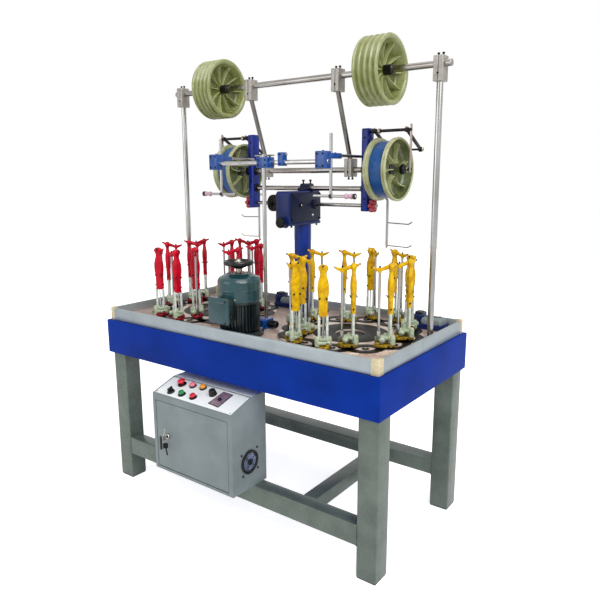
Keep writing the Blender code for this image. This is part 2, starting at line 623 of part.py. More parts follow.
def add_column():
    """Round column with a bolted foot, and the gearbox on top of it with its bearing cap."""
    base = DECK_TOP + GAP
    column = turned([(0, GEARBOX_BOTTOM - GAP), (COLUMN_RADIUS, GEARBOX_BOTTOM - GAP),
                     (COLUMN_RADIUS, base + COLUMN_FLANGE_HEIGHT),
                     (COLUMN_FLANGE_RADIUS, base + COLUMN_FLANGE_HEIGHT), (COLUMN_FLANGE_RADIUS, base),
                     (0, base)], (0, COLUMN_Y, 0))
    finish(column, "column", "column_paint")
    half = GEARBOX_WIDTH / 2
    case = box((-half, GEARBOX_FRONT, GEARBOX_BOTTOM), (half, GEARBOX_BACK, GEARBOX_TOP))
    round_edges(case, 0.006, 1)
    cap = block((0, SHAFT_Y, GEARBOX_TOP + CAP_HEIGHT / 2 - 0.001), (CAP_WIDTH, CAP_LENGTH, CAP_HEIGHT + 0.002))
    round_edges(cap, 0.009, 1)
    bosses = rod((-half - BOSS_LENGTH, SHAFT_Y, DRIVE_Z), (half + BOSS_LENGTH, SHAFT_Y, DRIVE_Z), BOSS_RADIUS)
    worm = rod((0, GEARBOX_FRONT - WORM_BOSS_LENGTH, WORM_BOSS_Z), (0, GEARBOX_FRONT + 0.05, WORM_BOSS_Z),
               WORM_BOSS_RADIUS)
    join(case, cap, bosses, worm)
    cut(case, shaft_hole(-0.1, 0.1, TIE_BAR_Z, TIE_BAR_RADIUS, GAP),
        shaft_hole(-0.1, 0.1, DRIVE_Z, DRIVE_RADIUS, RUN_GAP))
    finish(case, "gearbox", "column_paint")


def add_shafts():
    """Fixed wheel axle, fixed tie bar and the turning drive shaft with its index gear and knobs."""
    axle = rod((-AXLE_REACH, SHAFT_Y, AXLE_Z), (AXLE_REACH, SHAFT_Y, AXLE_Z), AXLE_RADIUS)
    finish(axle, "wheel_axle", "shaft_steel")
    reach = PLATE_X - GAP
    tie = rod((-reach, SHAFT_Y, TIE_BAR_Z), (reach, SHAFT_Y, TIE_BAR_Z), TIE_BAR_RADIUS)
    finish(tie, "tie_bar", "shaft_steel")
    drive = rod((-DRIVE_REACH, SHAFT_Y, DRIVE_Z), (DRIVE_REACH, SHAFT_Y, DRIVE_Z), DRIVE_RADIUS)
    half = INDEX_GEAR_THICKNESS / 2
    gear = rod((INDEX_GEAR_X - half, SHAFT_Y, DRIVE_Z), (INDEX_GEAR_X + half, SHAFT_Y, DRIVE_Z),
               INDEX_GEAR_RADIUS)
    join(drive, gear)
    finish(drive, "drive_shaft", "shaft_steel", pivot=(0, SHAFT_Y, DRIVE_Z))
    for side, sx in (("left", -1), ("right", 1)):
        inner = PLATE_X + PLATE_THICKNESS + KNOB_CLEARANCE
        start, end = (sx * inner, SHAFT_Y, DRIVE_Z), (sx * (inner + KNOB_LENGTH), SHAFT_Y, DRIVE_Z)
        knob = rod(start, end, KNOB_RADIUS * 0.82)
        lobes = []
        for lobe in range(KNOB_LOBES):
            turn = 2 * math.pi * lobe / KNOB_LOBES
            dy, dz = (KNOB_RADIUS * 0.72 * f(turn) for f in (math.cos, math.sin))
            lobes.append(rod((start[0], SHAFT_Y + dy, DRIVE_Z + dz), (end[0], SHAFT_Y + dy, DRIVE_Z + dz),
                             KNOB_RADIUS * 0.28, sides=8))
        join(knob, *lobes)
        cut(knob, shaft_hole(-DRIVE_REACH - 0.01, DRIVE_REACH + 0.01, DRIVE_Z, DRIVE_RADIUS, GAP))
        finish(knob, f"knob_{side}", "knob_red", pivot=(sx * inner, SHAFT_Y, DRIVE_Z))


def add_side_plates():
    """The two upright bars that carry the shafts, bored for each of them."""
    for side, sx in (("left", -1), ("right", 1)):
        centre = (sx * (PLATE_X + PLATE_THICKNESS / 2), SHAFT_Y, (PLATE_BOTTOM + PLATE_TOP) / 2)
        plate = block(centre, (PLATE_THICKNESS, PLATE_DEPTH, PLATE_TOP - PLATE_BOTTOM))
        reach = sx * (PLATE_X + PLATE_THICKNESS + 0.01)
        near = sx * (PLATE_X - 0.01)
        pivot_hole = rod((near, PRESS_Y, PRESS_Z), (reach, PRESS_Y, PRESS_Z), PRESS_ROD_RADIUS + RUN_GAP)
        cut(plate, shaft_hole(near, reach, AXLE_Z, AXLE_RADIUS, GAP),
            shaft_hole(near, reach, DRIVE_Z, DRIVE_RADIUS, RUN_GAP), pivot_hole)
        finish(plate, f"side_plate_{side}", "blue_paint")


def add_take_up_wheels():
    """Flanged wheels with a rubber-covered tread, free on the axle."""
    half = WHEEL_WIDTH / 2
    tread = WHEEL_RADIUS - BAND_DEPTH
    rim = WHEEL_RADIUS - RIM_DEPTH
    outline = [(WHEEL_HUB_RADIUS, half), (WHEEL_HUB_RADIUS, WHEEL_WEB / 2), (rim, WHEEL_WEB / 2),
               (rim, half - 0.002), (rim + 0.004, half), (WHEEL_RADIUS - 0.003, half),
               (WHEEL_RADIUS, half - 0.004),
               (WHEEL_RADIUS, half - WHEEL_FLANGE + 0.003), (tread, half - WHEEL_FLANGE - 0.002)]
    mirrored = [(radius, -height) for radius, height in reversed(outline)]
    for side, sx in (("left", -1), ("right", 1)):
        centre = (sx * (WHEEL_X + half), SHAFT_Y, AXLE_Z)
        wheel = turned(ring_profile(outline + mirrored, AXLE_RADIUS + RUN_GAP), centre, 'X', sides=32)
        finish(wheel, f"take_up_wheel_{side}", "wheel_plastic")


def add_press_arms():
    """Sprung arms on a pivot rod, with a roller behind the wheel that presses on the wound braid."""
    reach = WHEEL_RADIUS + PRESS_ROLLER_CLEAR + PRESS_ROLLER_RADIUS
    roller_y = PRESS_ROLLER_Y
    roller_z = AXLE_Z + math.sqrt(reach ** 2 - (roller_y - SHAFT_Y) ** 2)
    inner, outer = WHEEL_X + WHEEL_FLANGE + 0.006, WHEEL_X + WHEEL_WIDTH - WHEEL_FLANGE - 0.006
    for side, sx in (("left", -1), ("right", 1)):
        pivot_rod = rod((sx * (PLATE_X + 0.004), PRESS_Y, PRESS_Z), (sx * PRESS_ROD_END, PRESS_Y, PRESS_Z),
                        PRESS_ROD_RADIUS)
        pieces = []
        for x in PRESS_ARM_X:
            pieces.append(add_arm_bar(sx * x, (PRESS_Y, PRESS_Z), (roller_y, roller_z)))
        pieces.append(rod((sx * inner, roller_y, roller_z), (sx * outer, roller_y, roller_z),
                          PRESS_ROLLER_RADIUS, sides=16))
        pieces.append(rod((sx * (PRESS_ARM_X[0] - 0.004), roller_y, roller_z),
                          (sx * (PRESS_ARM_X[1] + 0.012), roller_y, roller_z), PRESS_PIN_RADIUS, sides=8))
        join(pivot_rod, *pieces)
        finish(pivot_rod, f"press_arm_{side}", "arm_black", pivot=(sx * PLATE_X, PRESS_Y, PRESS_Z))


def add_arm_bar(x, start, end):
    """A flat bar across X between two (y, z) points, as a block turned onto their line."""
    dy, dz = end[0] - start[0], end[1] - start[1]
    length = math.hypot(dy, dz) + 0.018
    bm = bmesh.new()
    bmesh.ops.create_cube(bm, size=1.0)
    bmesh.ops.scale(bm, vec=(PRESS_ARM_WIDTH, length, PRESS_ARM_DEPTH), verts=bm.verts)
    bmesh.ops.rotate(bm, matrix=Matrix.Rotation(math.atan2(dz, dy), 3, 'X'), verts=bm.verts)
    middle = (x, (start[0] + end[0]) / 2, (start[1] + end[1]) / 2)
    return new_object("arm", bm, tabled(middle))


def make_clamp(x, y, bar_z, bar_radius, high_z, low_z):
    """A clamp block and the cutter for the bar along X that it holds."""
    clamp = box((x - CLAMP_WIDTH / 2, y - CLAMP_DEPTH / 2, low_z),
                (x + CLAMP_WIDTH / 2, y + CLAMP_DEPTH / 2, high_z))
    hole = rod((x - CLAMP_WIDTH, y, bar_z), (x + CLAMP_WIDTH, y, bar_z), bar_radius + GAP)
    return clamp, hole


def add_top_bar():
    """The bar on its two posts and two struts, each with its clamp block."""
    bar = rod((-TOP_BAR_REACH, TOP_BAR_Y, TOP_BAR_Z), (TOP_BAR_REACH, TOP_BAR_Y, TOP_BAR_Z), TOP_BAR_RADIUS)
    finish(bar, "top_bar", "shaft_steel")
    high = TOP_BAR_Z + CLAMP_ABOVE_BAR
    low = high - CLAMP_HEIGHT
    for side, sx in (("left", -1), ("right", 1)):
        x = sx * POST_X
        clamp, hole = make_clamp(x, TOP_BAR_Y, TOP_BAR_Z, TOP_BAR_RADIUS, high, low)
        post = rod((x, TOP_BAR_Y, DECK_TOP + GAP), (x, TOP_BAR_Y, low + 0.004), POST_RADIUS)
        cut(join(clamp, post), hole)
        finish(clamp, f"post_{side}", "shaft_steel")
        x = sx * STRUT_X
        clamp, hole = make_clamp(x, TOP_BAR_Y, TOP_BAR_Z, TOP_BAR_RADIUS, high, low)
        block_high = AXLE_Z + STRUT_BLOCK_HEIGHT * 0.62
        foot, axle_hole = make_clamp(x, SHAFT_Y, AXLE_Z, AXLE_RADIUS, block_high,
                                     block_high - STRUT_BLOCK_HEIGHT)
        strut = rod((x, TOP_BAR_Y, low + 0.012), (x, SHAFT_Y, block_high - 0.010), STRUT_RADIUS)
        cut(join(clamp, foot, strut), hole, axle_hole)
        finish(clamp, f"strut_{side}", "clamp_aluminium")


def add_guide_pulleys():
    """Ridged pulleys, free on the top bar."""
    half = PULLEY_WIDTH / 2
    pitch = PULLEY_WIDTH / PULLEY_RIDGES
    outline = [(PULLEY_HUB_RADIUS, half), (PULLEY_HUB_RADIUS, PULLEY_WEB / 2),
               (PULLEY_RADIUS - PULLEY_RIM - PULLEY_GROOVE_DEPTH, PULLEY_WEB / 2),
               (PULLEY_RADIUS - PULLEY_RIM, half)]
    for ridge in range(PULLEY_RIDGES):
        top = half - ridge * pitch
        outline += [(PULLEY_RADIUS, top - pitch * 0.15), (PULLEY_RADIUS, top - pitch * 0.60)]
        if ridge < PULLEY_RIDGES - 1:
            outline.append((PULLEY_RADIUS - PULLEY_GROOVE_DEPTH, top - pitch * 0.87))
    outline += [(PULLEY_RADIUS - PULLEY_RIM, -half),
                (PULLEY_RADIUS - PULLEY_RIM - PULLEY_GROOVE_DEPTH, -PULLEY_WEB / 2),
                (PULLEY_HUB_RADIUS, -PULLEY_WEB / 2), (PULLEY_HUB_RADIUS, -half)]
    for side, sx in (("left", -1), ("right", 1)):
        centre = (sx * (PULLEY_X + half), TOP_BAR_Y, TOP_BAR_Z)
        pulley = turned(ring_profile(outline, TOP_BAR_RADIUS + RUN_GAP), centre, 'X', sides=PULLEY_SIDES)
        finish(pulley, f"guide_pulley_{side}", "wheel_plastic")


def add_guide_frame():
    """Front rod on a centre rod, and the wire guides clamped to its ends."""
    front = rod((-FRONT_ROD_REACH, FRONT_ROD_Y, FRONT_ROD_Z), (FRONT_ROD_REACH, FRONT_ROD_Y, FRONT_ROD_Z),
                FRONT_ROD_RADIUS)
    finish(front, "front_rod", "shaft_steel")
    hole = rod((-1, FRONT_ROD_Y, FRONT_ROD_Z), (1, FRONT_ROD_Y, FRONT_ROD_Z), FRONT_ROD_RADIUS + GAP)
    base = DECK_TOP + GAP
    post_y = FRONT_ROD_Y - FRONT_ROD_RADIUS - CENTRE_ROD_RADIUS - 0.002
    foot = block((CENTRE_ROD_X, post_y - 0.014, base + FOOT_BLOCK_SIZE[2] / 2), FOOT_BLOCK_SIZE)
    knob_z = base + FOOT_BLOCK_SIZE[2] * 0.55
    knob = rod((CENTRE_ROD_X, FOOT_KNOB_Y, knob_z),
               (CENTRE_ROD_X + FOOT_BLOCK_SIZE[0] / 2 + FOOT_KNOB_LENGTH, FOOT_KNOB_Y, knob_z),
               FOOT_KNOB_RADIUS, sides=12)
    clamp = block((CENTRE_ROD_X, (FRONT_ROD_Y + post_y) / 2, FRONT_ROD_Z), CENTRE_CLAMP_SIZE)
    upright = rod((CENTRE_ROD_X, post_y, base + 0.010), (CENTRE_ROD_X, post_y, FRONT_ROD_Z + 0.032),
                  CENTRE_ROD_RADIUS)
    cut(join(foot, knob, clamp, upright), hole)
    finish(foot, "centre_rod", "shaft_steel")
    for side, sx in (("left", -1), ("right", 1)):
        clamp = block((sx * GUIDE_X, FRONT_ROD_Y, FRONT_ROD_Z + 0.006), GUIDE_CLAMP_SIZE)
        x = sx * KNUCKLE_X
        knuckle_back = FRONT_ROD_Y + GUIDE_CLAMP_SIZE[1] / 2 - 0.006 + KNUCKLE_SIZE[1]
        knuckle = block((x, knuckle_back - KNUCKLE_SIZE[1] / 2, KNUCKLE_Z), KNUCKLE_SIZE)
        post = rod((x, GUIDE_POST_Y, GUIDE_POST_BOTTOM), (x, GUIDE_POST_Y, GUIDE_POST_TOP), GUIDE_POST_RADIUS,
                   sides=12)
        arm = rod((sx * GUIDE_ARM_INNER, GUIDE_POST_Y, GUIDE_ARM_Z),
                  (sx * GUIDE_ARM_OUTER, GUIDE_POST_Y, GUIDE_ARM_Z), GUIDE_ARM_RADIUS, sides=10)
        stay = rod((x, knuckle_back - 0.012, GUIDE_STAY_Z), (x, SHAFT_Y - PLATE_DEPTH / 2 - GAP, GUIDE_STAY_Z),
                   GUIDE_STAY_RADIUS, sides=12)
        cut(join(clamp, knuckle, post, arm, stay), hole)
        finish(clamp, f"wire_guide_{side}", "column_paint")


def add_deck_brackets():
    """Low covered bracket on the deck behind each head."""
    for side, sx in (("left", -1), ("right", 1)):
        x_low = sx * HEAD_X + BRACKET_OFFSET
        back, top = BRACKET_Y + BRACKET_DEPTH, DECK_TOP + BRACKET_HEIGHT
        section = [(BRACKET_Y, DECK_TOP + GAP), (BRACKET_Y, DECK_TOP + BRACKET_FRONT_HEIGHT),
                   (BRACKET_Y + BRACKET_SLOPE_DEPTH, top), (back, top), (back, DECK_TOP + GAP)]
        finish(extrude_section(section, x_low, x_low + BRACKET_LENGTH), f"deck_bracket_{side}", "blue_paint")


def tube_curve(points, radius):
    """A bent rod through the given points, as a closed mesh."""
    curve = bpy.data.curves.new("bent_rod", 'CURVE')
    curve.dimensions = '3D'
    curve.bevel_depth = radius
    curve.bevel_resolution = 2
    curve.use_fill_caps = True
    curve.resolution_u = 1
    curve.render_resolution_u = 0
    spline = curve.splines.new('POLY')
    spline.points.add(len(points) - 1)
    for point, place in zip(spline.points, points):
        point.co = (*tabled(place), 1.0)
    obj = bpy.data.objects.new("bent_rod", curve)
    TOOLS.objects.link(obj)
    bpy.context.view_layer.update()
    mesh = bpy.data.meshes.new_from_object(obj.evaluated_get(bpy.context.evaluated_depsgraph_get()))
    bm = bmesh.new()
    bm.from_mesh(mesh)
    bmesh.ops.remove_doubles(bm, verts=bm.verts, dist=0.00001)
    bpy.data.objects.remove(obj, do_unlink=True)
    return new_object("bent_rod", bm)


def add_hook_rods():
    """Bent rods on the backs of the side plates, each with two wire hooks for the braid."""
    for side, sx in (("left", -1), ("right", 1)):
        x, plate_x = sx * HOOK_X, sx * (PLATE_X + PLATE_THICKNESS / 2)
        back = SHAFT_Y + PLATE_DEPTH / 2 + GAP
        hanger = tube_curve([(plate_x, back, HOOK_SEAT_Z), (plate_x, back + 0.022, HOOK_SEAT_Z),
                             (x - sx * 0.012, HOOK_Y - 0.006, HOOK_SEAT_Z - 0.006),
                             (x, HOOK_Y, HOOK_SEAT_Z - 0.022), (x, HOOK_Y, HOOK_BOTTOM)], HOOK_ROD_RADIUS)
        tip = x + sx * HOOK_WIRE_LENGTH
        wires = [rod((x, HOOK_Y, HOOK_BOTTOM + height), (tip, HOOK_Y, HOOK_BOTTOM + height), HOOK_WIRE_RADIUS,
                     sides=6) for height in HOOK_WIRE_HEIGHTS]
        join(hanger, *wires)
        finish(hanger, f"hook_rod_{side}", "shaft_steel")


def cabinet_section(low_y, high_y, low_z, shrink):
    """Side outline of the cabinet as (y, z) pairs: upright front, sloping panel, flat top."""
    slope_y = CABINET_FRONT + PANEL_DEPTH
    return [(low_y, low_z), (low_y, CABINET_FRONT_TOP - shrink), (slope_y, CABINET_TOP - shrink),
            (high_y, CABINET_TOP - shrink), (high_y, low_z)]


def extrude_section(section, x_low, x_high):
    """A prism along X over a (y, z) outline."""
    bm = bmesh.new()
    loop = [bm.verts.new(tabled((x_low, y, z))) for y, z in section]
    face = bm.faces.new(loop)
    moved = bmesh.ops.extrude_face_region(bm, geom=[face])["geom"]
    bmesh.ops.translate(bm, vec=(x_high - x_low, 0, 0),
                        verts=[v for v in moved if isinstance(v, bmesh.types.BMVert)])
    return new_object("prism", bm)


def door_bounds():
    """The door opening's left, right, bottom and top."""
    left, right, bottom, top = DOOR_MARGINS
    floor = STRETCHER_TOP + GAP
    return (CABINET_LEFT + left, CABINET_RIGHT - right, floor + bottom, CABINET_FRONT_TOP - top)


def panel_frame(place, rise):
    """A point above the sloping panel, given by (distance from its left side, up the slope) and a height."""
    length = math.hypot(PANEL_DEPTH, CABINET_TOP - CABINET_FRONT_TOP)
    along = Vector((0, PANEL_DEPTH / length, (CABINET_TOP - CABINET_FRONT_TOP) / length))
    normal = Vector((0, -along.z, along.y))
    foot = Vector((CABINET_LEFT + place[0], CABINET_FRONT, CABINET_FRONT_TOP)) + along * place[1]
    return foot + normal * rise


def add_cabinet():
    """Sheet-metal cabinet standing on the front stretcher, with its door, fan and controls."""
    floor = STRETCHER_TOP + GAP
    shell = extrude_section(cabinet_section(CABINET_FRONT, CABINET_BACK, floor, 0), CABINET_LEFT, CABINET_RIGHT)
    inside = cabinet_section(CABINET_FRONT + SHEET, CABINET_BACK - SHEET, floor + SHEET, SHEET * 1.3)
    room = extrude_section(inside, CABINET_LEFT + SHEET, CABINET_RIGHT - SHEET)
    left, right, bottom, top = door_bounds()
    doorway = box((left, CABINET_FRONT - 0.01, bottom), (right, CABINET_FRONT + 0.02, top))
    stems = [rod(panel_frame(place, -0.03), panel_frame(place, 0.03), CONTROL_STEM_RADIUS + RUN_GAP, sides=12)
             for place in (SELECTOR_PLACE, START_PLACE, HALT_PLACE, STOP_PLACE, SPEED_PLACE)]
    cut(shell, room, doorway, *stems)
    finish(shell, "cabinet_body", "cabinet_paint")
    door = box((left + DOOR_GAP, CABINET_FRONT, bottom + DOOR_GAP),
               (right - DOOR_GAP, CABINET_FRONT + DOOR_THICKNESS, top - DOOR_GAP))
    lock_x = left + LOCK_INSET
    lock = rod((lock_x, CABINET_FRONT - 0.008, LOCK_Z), (lock_x, CABINET_FRONT + 0.004, LOCK_Z), LOCK_RADIUS,
               sides=16)
    key = box((lock_x - 0.001, CABINET_FRONT - KEY_REACH, LOCK_Z - 0.009),
              (lock_x + 0.001, CABINET_FRONT - 0.006, LOCK_Z + 0.009))
    join(door, lock, key)
    finish(door, "cabinet_door", "cabinet_paint", pivot=(right - DOOR_GAP, CABINET_FRONT, (bottom + top) / 2))
    fan = rod((CABINET_RIGHT + GAP, FAN_Y, FAN_Z), (CABINET_RIGHT + GAP + FAN_THICKNESS, FAN_Y, FAN_Z),
              FAN_RADIUS, sides=32)
    finish(fan, "cabinet_fan", "black_plastic")


def add_control(name, place, material, radius, height):
    """A button or knob with its stem through the panel."""
    cap = rod(panel_frame(place, 0.006), panel_frame(place, 0.006 + height), radius, sides=16)
    stem = rod(panel_frame(place, -0.012), panel_frame(place, 0.008), CONTROL_STEM_RADIUS, sides=12)
    join(cap, stem)
    finish(cap, name, material, pivot=panel_frame(place, 0))


def add_controls():
    """Emergency stop, selector, start and halt buttons and the speed knob."""
    add_control("selector_switch", SELECTOR_PLACE, "black_plastic", CONTROL_RADIUS, CONTROL_HEIGHT)
    add_control("start_button", START_PLACE, "button_green", CONTROL_RADIUS * 0.9, CONTROL_HEIGHT * 0.7)
    add_control("halt_button", HALT_PLACE, "button_red", CONTROL_RADIUS * 0.9, CONTROL_HEIGHT * 0.7)
    add_control("stop_button", STOP_PLACE, "button_red", CONTROL_RADIUS * 1.2, CONTROL_HEIGHT)
    add_control("speed_knob", SPEED_PLACE, "black_plastic", CONTROL_RADIUS, CONTROL_HEIGHT * 1.2)


add_bench()
add_fence()
add_deck()
carrier = make_carrier()
add_head("right", 1, RIGHT_CARRIERS, carrier, "carrier_yellow")
add_head("left", -1, LEFT_CARRIERS, carrier, "carrier_red")
add_motor()
add_column()
add_shafts()
add_side_plates()
add_take_up_wheels()
add_press_arms()
add_top_bar()
add_guide_pulleys()
add_guide_frame()
add_deck_brackets()
add_hook_rods()
add_cabinet()
add_controls()
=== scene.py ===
"""The look of a two-head wire braiding machine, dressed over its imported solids.

Every new piece is a surface worked out with numpy in the frame of the bench: X along the machine,
Y away from the operator, Z up, metres. make() moves it from the bench's middle to the machine's own
frame, merges doubles, points the faces outwards and gives it its finish and the body it rides on.
"""
import json
import math

import bmesh
import bpy
import numpy as np
from bpy.props import FloatProperty, FloatVectorProperty, IntProperty, PointerProperty
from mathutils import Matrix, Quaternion, Vector

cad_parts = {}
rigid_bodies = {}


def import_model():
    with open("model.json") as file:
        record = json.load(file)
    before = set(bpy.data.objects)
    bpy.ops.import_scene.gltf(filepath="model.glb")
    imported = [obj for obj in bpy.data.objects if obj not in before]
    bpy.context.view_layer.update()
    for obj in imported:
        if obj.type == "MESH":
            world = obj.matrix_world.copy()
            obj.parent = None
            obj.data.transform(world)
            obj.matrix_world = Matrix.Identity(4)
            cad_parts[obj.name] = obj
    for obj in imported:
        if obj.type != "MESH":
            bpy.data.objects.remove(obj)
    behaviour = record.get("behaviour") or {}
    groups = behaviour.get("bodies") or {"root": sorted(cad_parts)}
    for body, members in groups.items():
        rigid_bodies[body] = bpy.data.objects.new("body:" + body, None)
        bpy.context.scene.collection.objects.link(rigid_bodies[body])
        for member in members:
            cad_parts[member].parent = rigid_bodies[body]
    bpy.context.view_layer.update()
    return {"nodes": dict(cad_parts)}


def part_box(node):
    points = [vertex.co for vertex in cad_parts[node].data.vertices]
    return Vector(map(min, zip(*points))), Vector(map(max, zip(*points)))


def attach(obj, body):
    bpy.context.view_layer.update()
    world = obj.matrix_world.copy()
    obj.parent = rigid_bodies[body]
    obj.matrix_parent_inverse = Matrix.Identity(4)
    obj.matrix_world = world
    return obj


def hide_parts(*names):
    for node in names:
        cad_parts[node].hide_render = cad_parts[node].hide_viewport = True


bl_info = {
    "name": "Wire braiding machine",
    "version": (1, 0, 0),
    "blender": (4, 5, 0),
    "location": "3D View > Sidebar > Braider",
    "description": "Dresses the solids of a two-head wire braiding machine",
    "category": "Object",
}

for leftover in list(bpy.data.objects):
    bpy.data.objects.remove(leftover, do_unlink=True)
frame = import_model()


# Places that the pieces share, in metres from the middle of the bench

def box_of(node):
    """Lowest and highest corner of a solid, from the middle of the bench."""
    low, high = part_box(node)
    return np.array(low) - BENCH, np.array(high) - BENCH


BENCH = np.zeros(3)
bed_low, bed_high = box_of("gear_bed")
BENCH = np.array([0.0, (bed_low[1] + bed_high[1]) / 2, 0.0])
DECK_TOP = box_of("deck_plate")[1][2]
TRACK_TOP = DECK_TOP + 0.0103
HEAD_X = 0.366
TRACK_RADIUS = 0.283
SIDES = (("left", -1), ("right", 1))
ROWS = (("front", -1), ("back", 1))
CORNERS = ((-1, -1), (-1, 1), (1, -1), (1, 1))
UP = (0, 0, 1)
FRONT = (0, -1, 0)
# The shafts between the side bars, and the bars' middle and inner face
SHAFT_Y = 0.212
AXLE_Z = 1.407
TIE_Z = 1.331
DRIVE_Z = 1.263
DISC_X = -0.190
SIDE_BAR_X = 0.303
SIDE_BAR_INNER = 0.288
# The wheels and pulleys: inner face and half width; the press arms' two bars
WHEEL_X = 0.350
WHEEL_HALF = 0.05025
PULLEY_X = 0.3595
PULLEY_HALF = 0.0525
WEB_HALF = 0.006
ARM_XS = (0.340, 0.480)
# The bar over the pulleys with its posts and struts
TOP_Y = 0.111
TOP_Z = 1.7643
POST_X = 0.650
STRUT_X = 0.224
# The front guide frame: its rod, its clamp blocks, and the low rods of the wire guides
GUIDE_Y = -0.064
GUIDE_Z = 1.436
BLOCK_X = 0.275
GUIDE_X = 0.285
LOW_ROD_Y = -0.026
LOW_ROD_Z = 1.308
HANDWHEEL_Z = 1.055
# The cabinet's front and its sloping panel: foot, run and rise
CABINET_FRONT = -0.460
PANEL_FOOT_Z = 0.528
PANEL_RUN = 0.118
PANEL_RISE = 0.040
# Controls on the panel: X, and distance up the slope
CONTROLS = {"selector": (-0.207, 0.031), "start": (-0.147, 0.0345), "halt": (-0.085, 0.036),
            "stop": (-0.198, 0.087), "speed": (-0.017, 0.080)}

# Carriers on each ring: degrees round the head, share of the track's radius, heading of the arm
RIGHT_CARRIERS = ((-164, .870, 60), (-134, .677, 87), (-107, .940, 155), (-79, .961, 121), (-56, .740, 217),
                  (-24, .872, 217), (8, .829, 217), (38, .806, 100), (81, .961, -10), (104, .961, -33),
                  (131, .654, 37), (161, .916, 37))
LEFT_CARRIERS = ((-164, .880, 37), (-110, .940, 121), (-83, .918, 167), (-76, .584, -41), (-14, .678, 217),
                 (38, .745, 217), (86, .961, 250), (106, .916, 37), (108, .653, 240), (146, .889, 217),
                 (169, .753, 37))


# Shapes: every solid is (points, quads, caps), every outline or path an array of points

def axes(along):
    """Rows u, v, w: w is the direction given, u and v lie across it, and u x v = w."""
    w = np.asarray(along, float) / np.linalg.norm(along)
    helper = np.array([0.0, 0.0, 1.0]) if abs(w[2]) < 0.99 else np.array([0.0, 1.0, 0.0])
    u = np.cross(helper, w)
    u /= np.linalg.norm(u)
    return np.array([u, np.cross(w, u), w])


def shell(points, ring=False):
    """Quads over a grid of points (rows, columns, 3) whose columns close, with an end face on each open
    end; a ring's last row joins its first."""
    if ring:
        points = np.concatenate([points, points[:1]])
    rows, columns = points.shape[:2]
    row = np.arange(rows - 1)[:, None] * columns
    column = np.arange(columns)[None, :]
    after = (column + 1) % columns
    quads = np.stack([row + column, row + after, row + columns + after, row + columns + column], -1)
    caps = [] if ring else [np.arange(columns)[::-1], np.arange(columns) + (rows - 1) * columns]
    return points.reshape(-1, 3), quads.reshape(-1, 4), caps


def moved(shape, at=(0, 0, 0), turn=None):
    """A shape turned by a matrix and then moved: p' = turn p + at."""
    points, quads, caps = shape
    if turn is not None:
        points = points @ np.asarray(turn).T
    return points + np.asarray(at), quads, caps


def spun(degrees):
    """Matrix of a turn about +Z."""
    c, s = math.cos(math.radians(degrees)), math.sin(math.radians(degrees))
    return np.array([[c, -s, 0], [s, c, 0], [0, 0, 1]])


def softened(points, reach, steps=3, closed=False):
    """A polyline with each corner c replaced by (1-t)^2 a + 2t(1-t) c + t^2 b, where a and b lie on its two
    sides at the given reach from c, or half the side if that is nearer."""
    p = np.asarray(points, float)
    before, behind = np.roll(p, 1, 0), np.roll(p, -1, 0)
    to_a, to_b = before - p, behind - p
    len_a = np.linalg.norm(to_a, axis=1, keepdims=True)
    len_b = np.linalg.norm(to_b, axis=1, keepdims=True)
    a = p + to_a / len_a * np.minimum(reach, len_a * 0.48)
    b = p + to_b / len_b * np.minimum(reach, len_b * 0.48)
    t = np.linspace(0, 1, steps + 1)[None, :, None]
    bent = (1 - t) ** 2 * a[:, None] + 2 * t * (1 - t) * p[:, None] + t ** 2 * b[:, None]
    if closed:
        return bent.reshape(-1, p.shape[1])
    return np.concatenate([p[:1], bent[1:-1].reshape(-1, p.shape[1]), p[-1:]])


def turned(profile, at, along=(0, 0, 1), sides=40, ring=False, ripple=None, share=None):
    """A turned surface: point = at + (r + share * ripple(t)) (cos t u + sin t v) + h w for each (r, h) of
    the profile and t round the axis."""
    u, v, w = axes(along)
    t = np.linspace(0, 2 * np.pi, sides, endpoint=False)
    profile = np.asarray(profile, float)
    radius = np.repeat(profile[:, :1], sides, axis=1)
    if ripple is not None:
        weight = np.ones(len(profile)) if share is None else np.asarray(share)
        radius = radius + weight[:, None] * ripple(t)[None]
    across = np.cos(t)[:, None] * u + np.sin(t)[:, None] * v
    points = np.asarray(at) + radius[..., None] * across[None] + profile[:, 1][:, None, None] * w
    return shell(points, ring)


def carried(path, section, up=(0, 0, 1), scale=None):
    """A closed section carried along a path: point = path_i + x_j side_i + y_j over_i, with side = tangent x
    up, over = side x tangent, and the section scaled row by row if scale is given."""
    path, section = np.asarray(path, float), np.asarray(section, float)
    tangent = np.gradient(path, axis=0)
    tangent /= np.linalg.norm(tangent, axis=1, keepdims=True)
    side = np.cross(tangent, np.asarray(up, float))
    side /= np.linalg.norm(side, axis=1, keepdims=True)
    over = np.cross(side, tangent)
    scale = np.ones((len(path), 2)) if scale is None else np.asarray(scale, float)
    x = section[None, :, 0] * scale[:, :1]
    y = section[None, :, 1] * scale[:, 1:]
    return shell(path[:, None] + x[..., None] * side[:, None] + y[..., None] * over[:, None])


def circle(radius, sides=12):
    """A round section: (r cos t, r sin t)."""
    t = np.linspace(0, 2 * np.pi, sides, endpoint=False)
    return np.stack([np.cos(t), np.sin(t)], -1) * radius


def tube(points, radius, sides=12, up=(0, 0, 1), bend=0.0):
    """A round bar carried along a line whose corners are softened."""
    path = softened(points, bend, 6) if bend else np.asarray(points, float)
    return carried(path, circle(radius, sides), up)


def bar(start, end, radius, sides=32, edge=0.001):
    """A straight round bar with a small chamfer at both ends."""
    start, end = np.asarray(start, float), np.asarray(end, float)
    length = np.linalg.norm(end - start)
    edge = min(edge, radius * 0.5)
    profile = [(0, 0), (radius - edge, 0), (radius, edge), (radius, length - edge), (radius - edge, length),
               (0, length)]
    return turned(profile, start, end - start, sides)


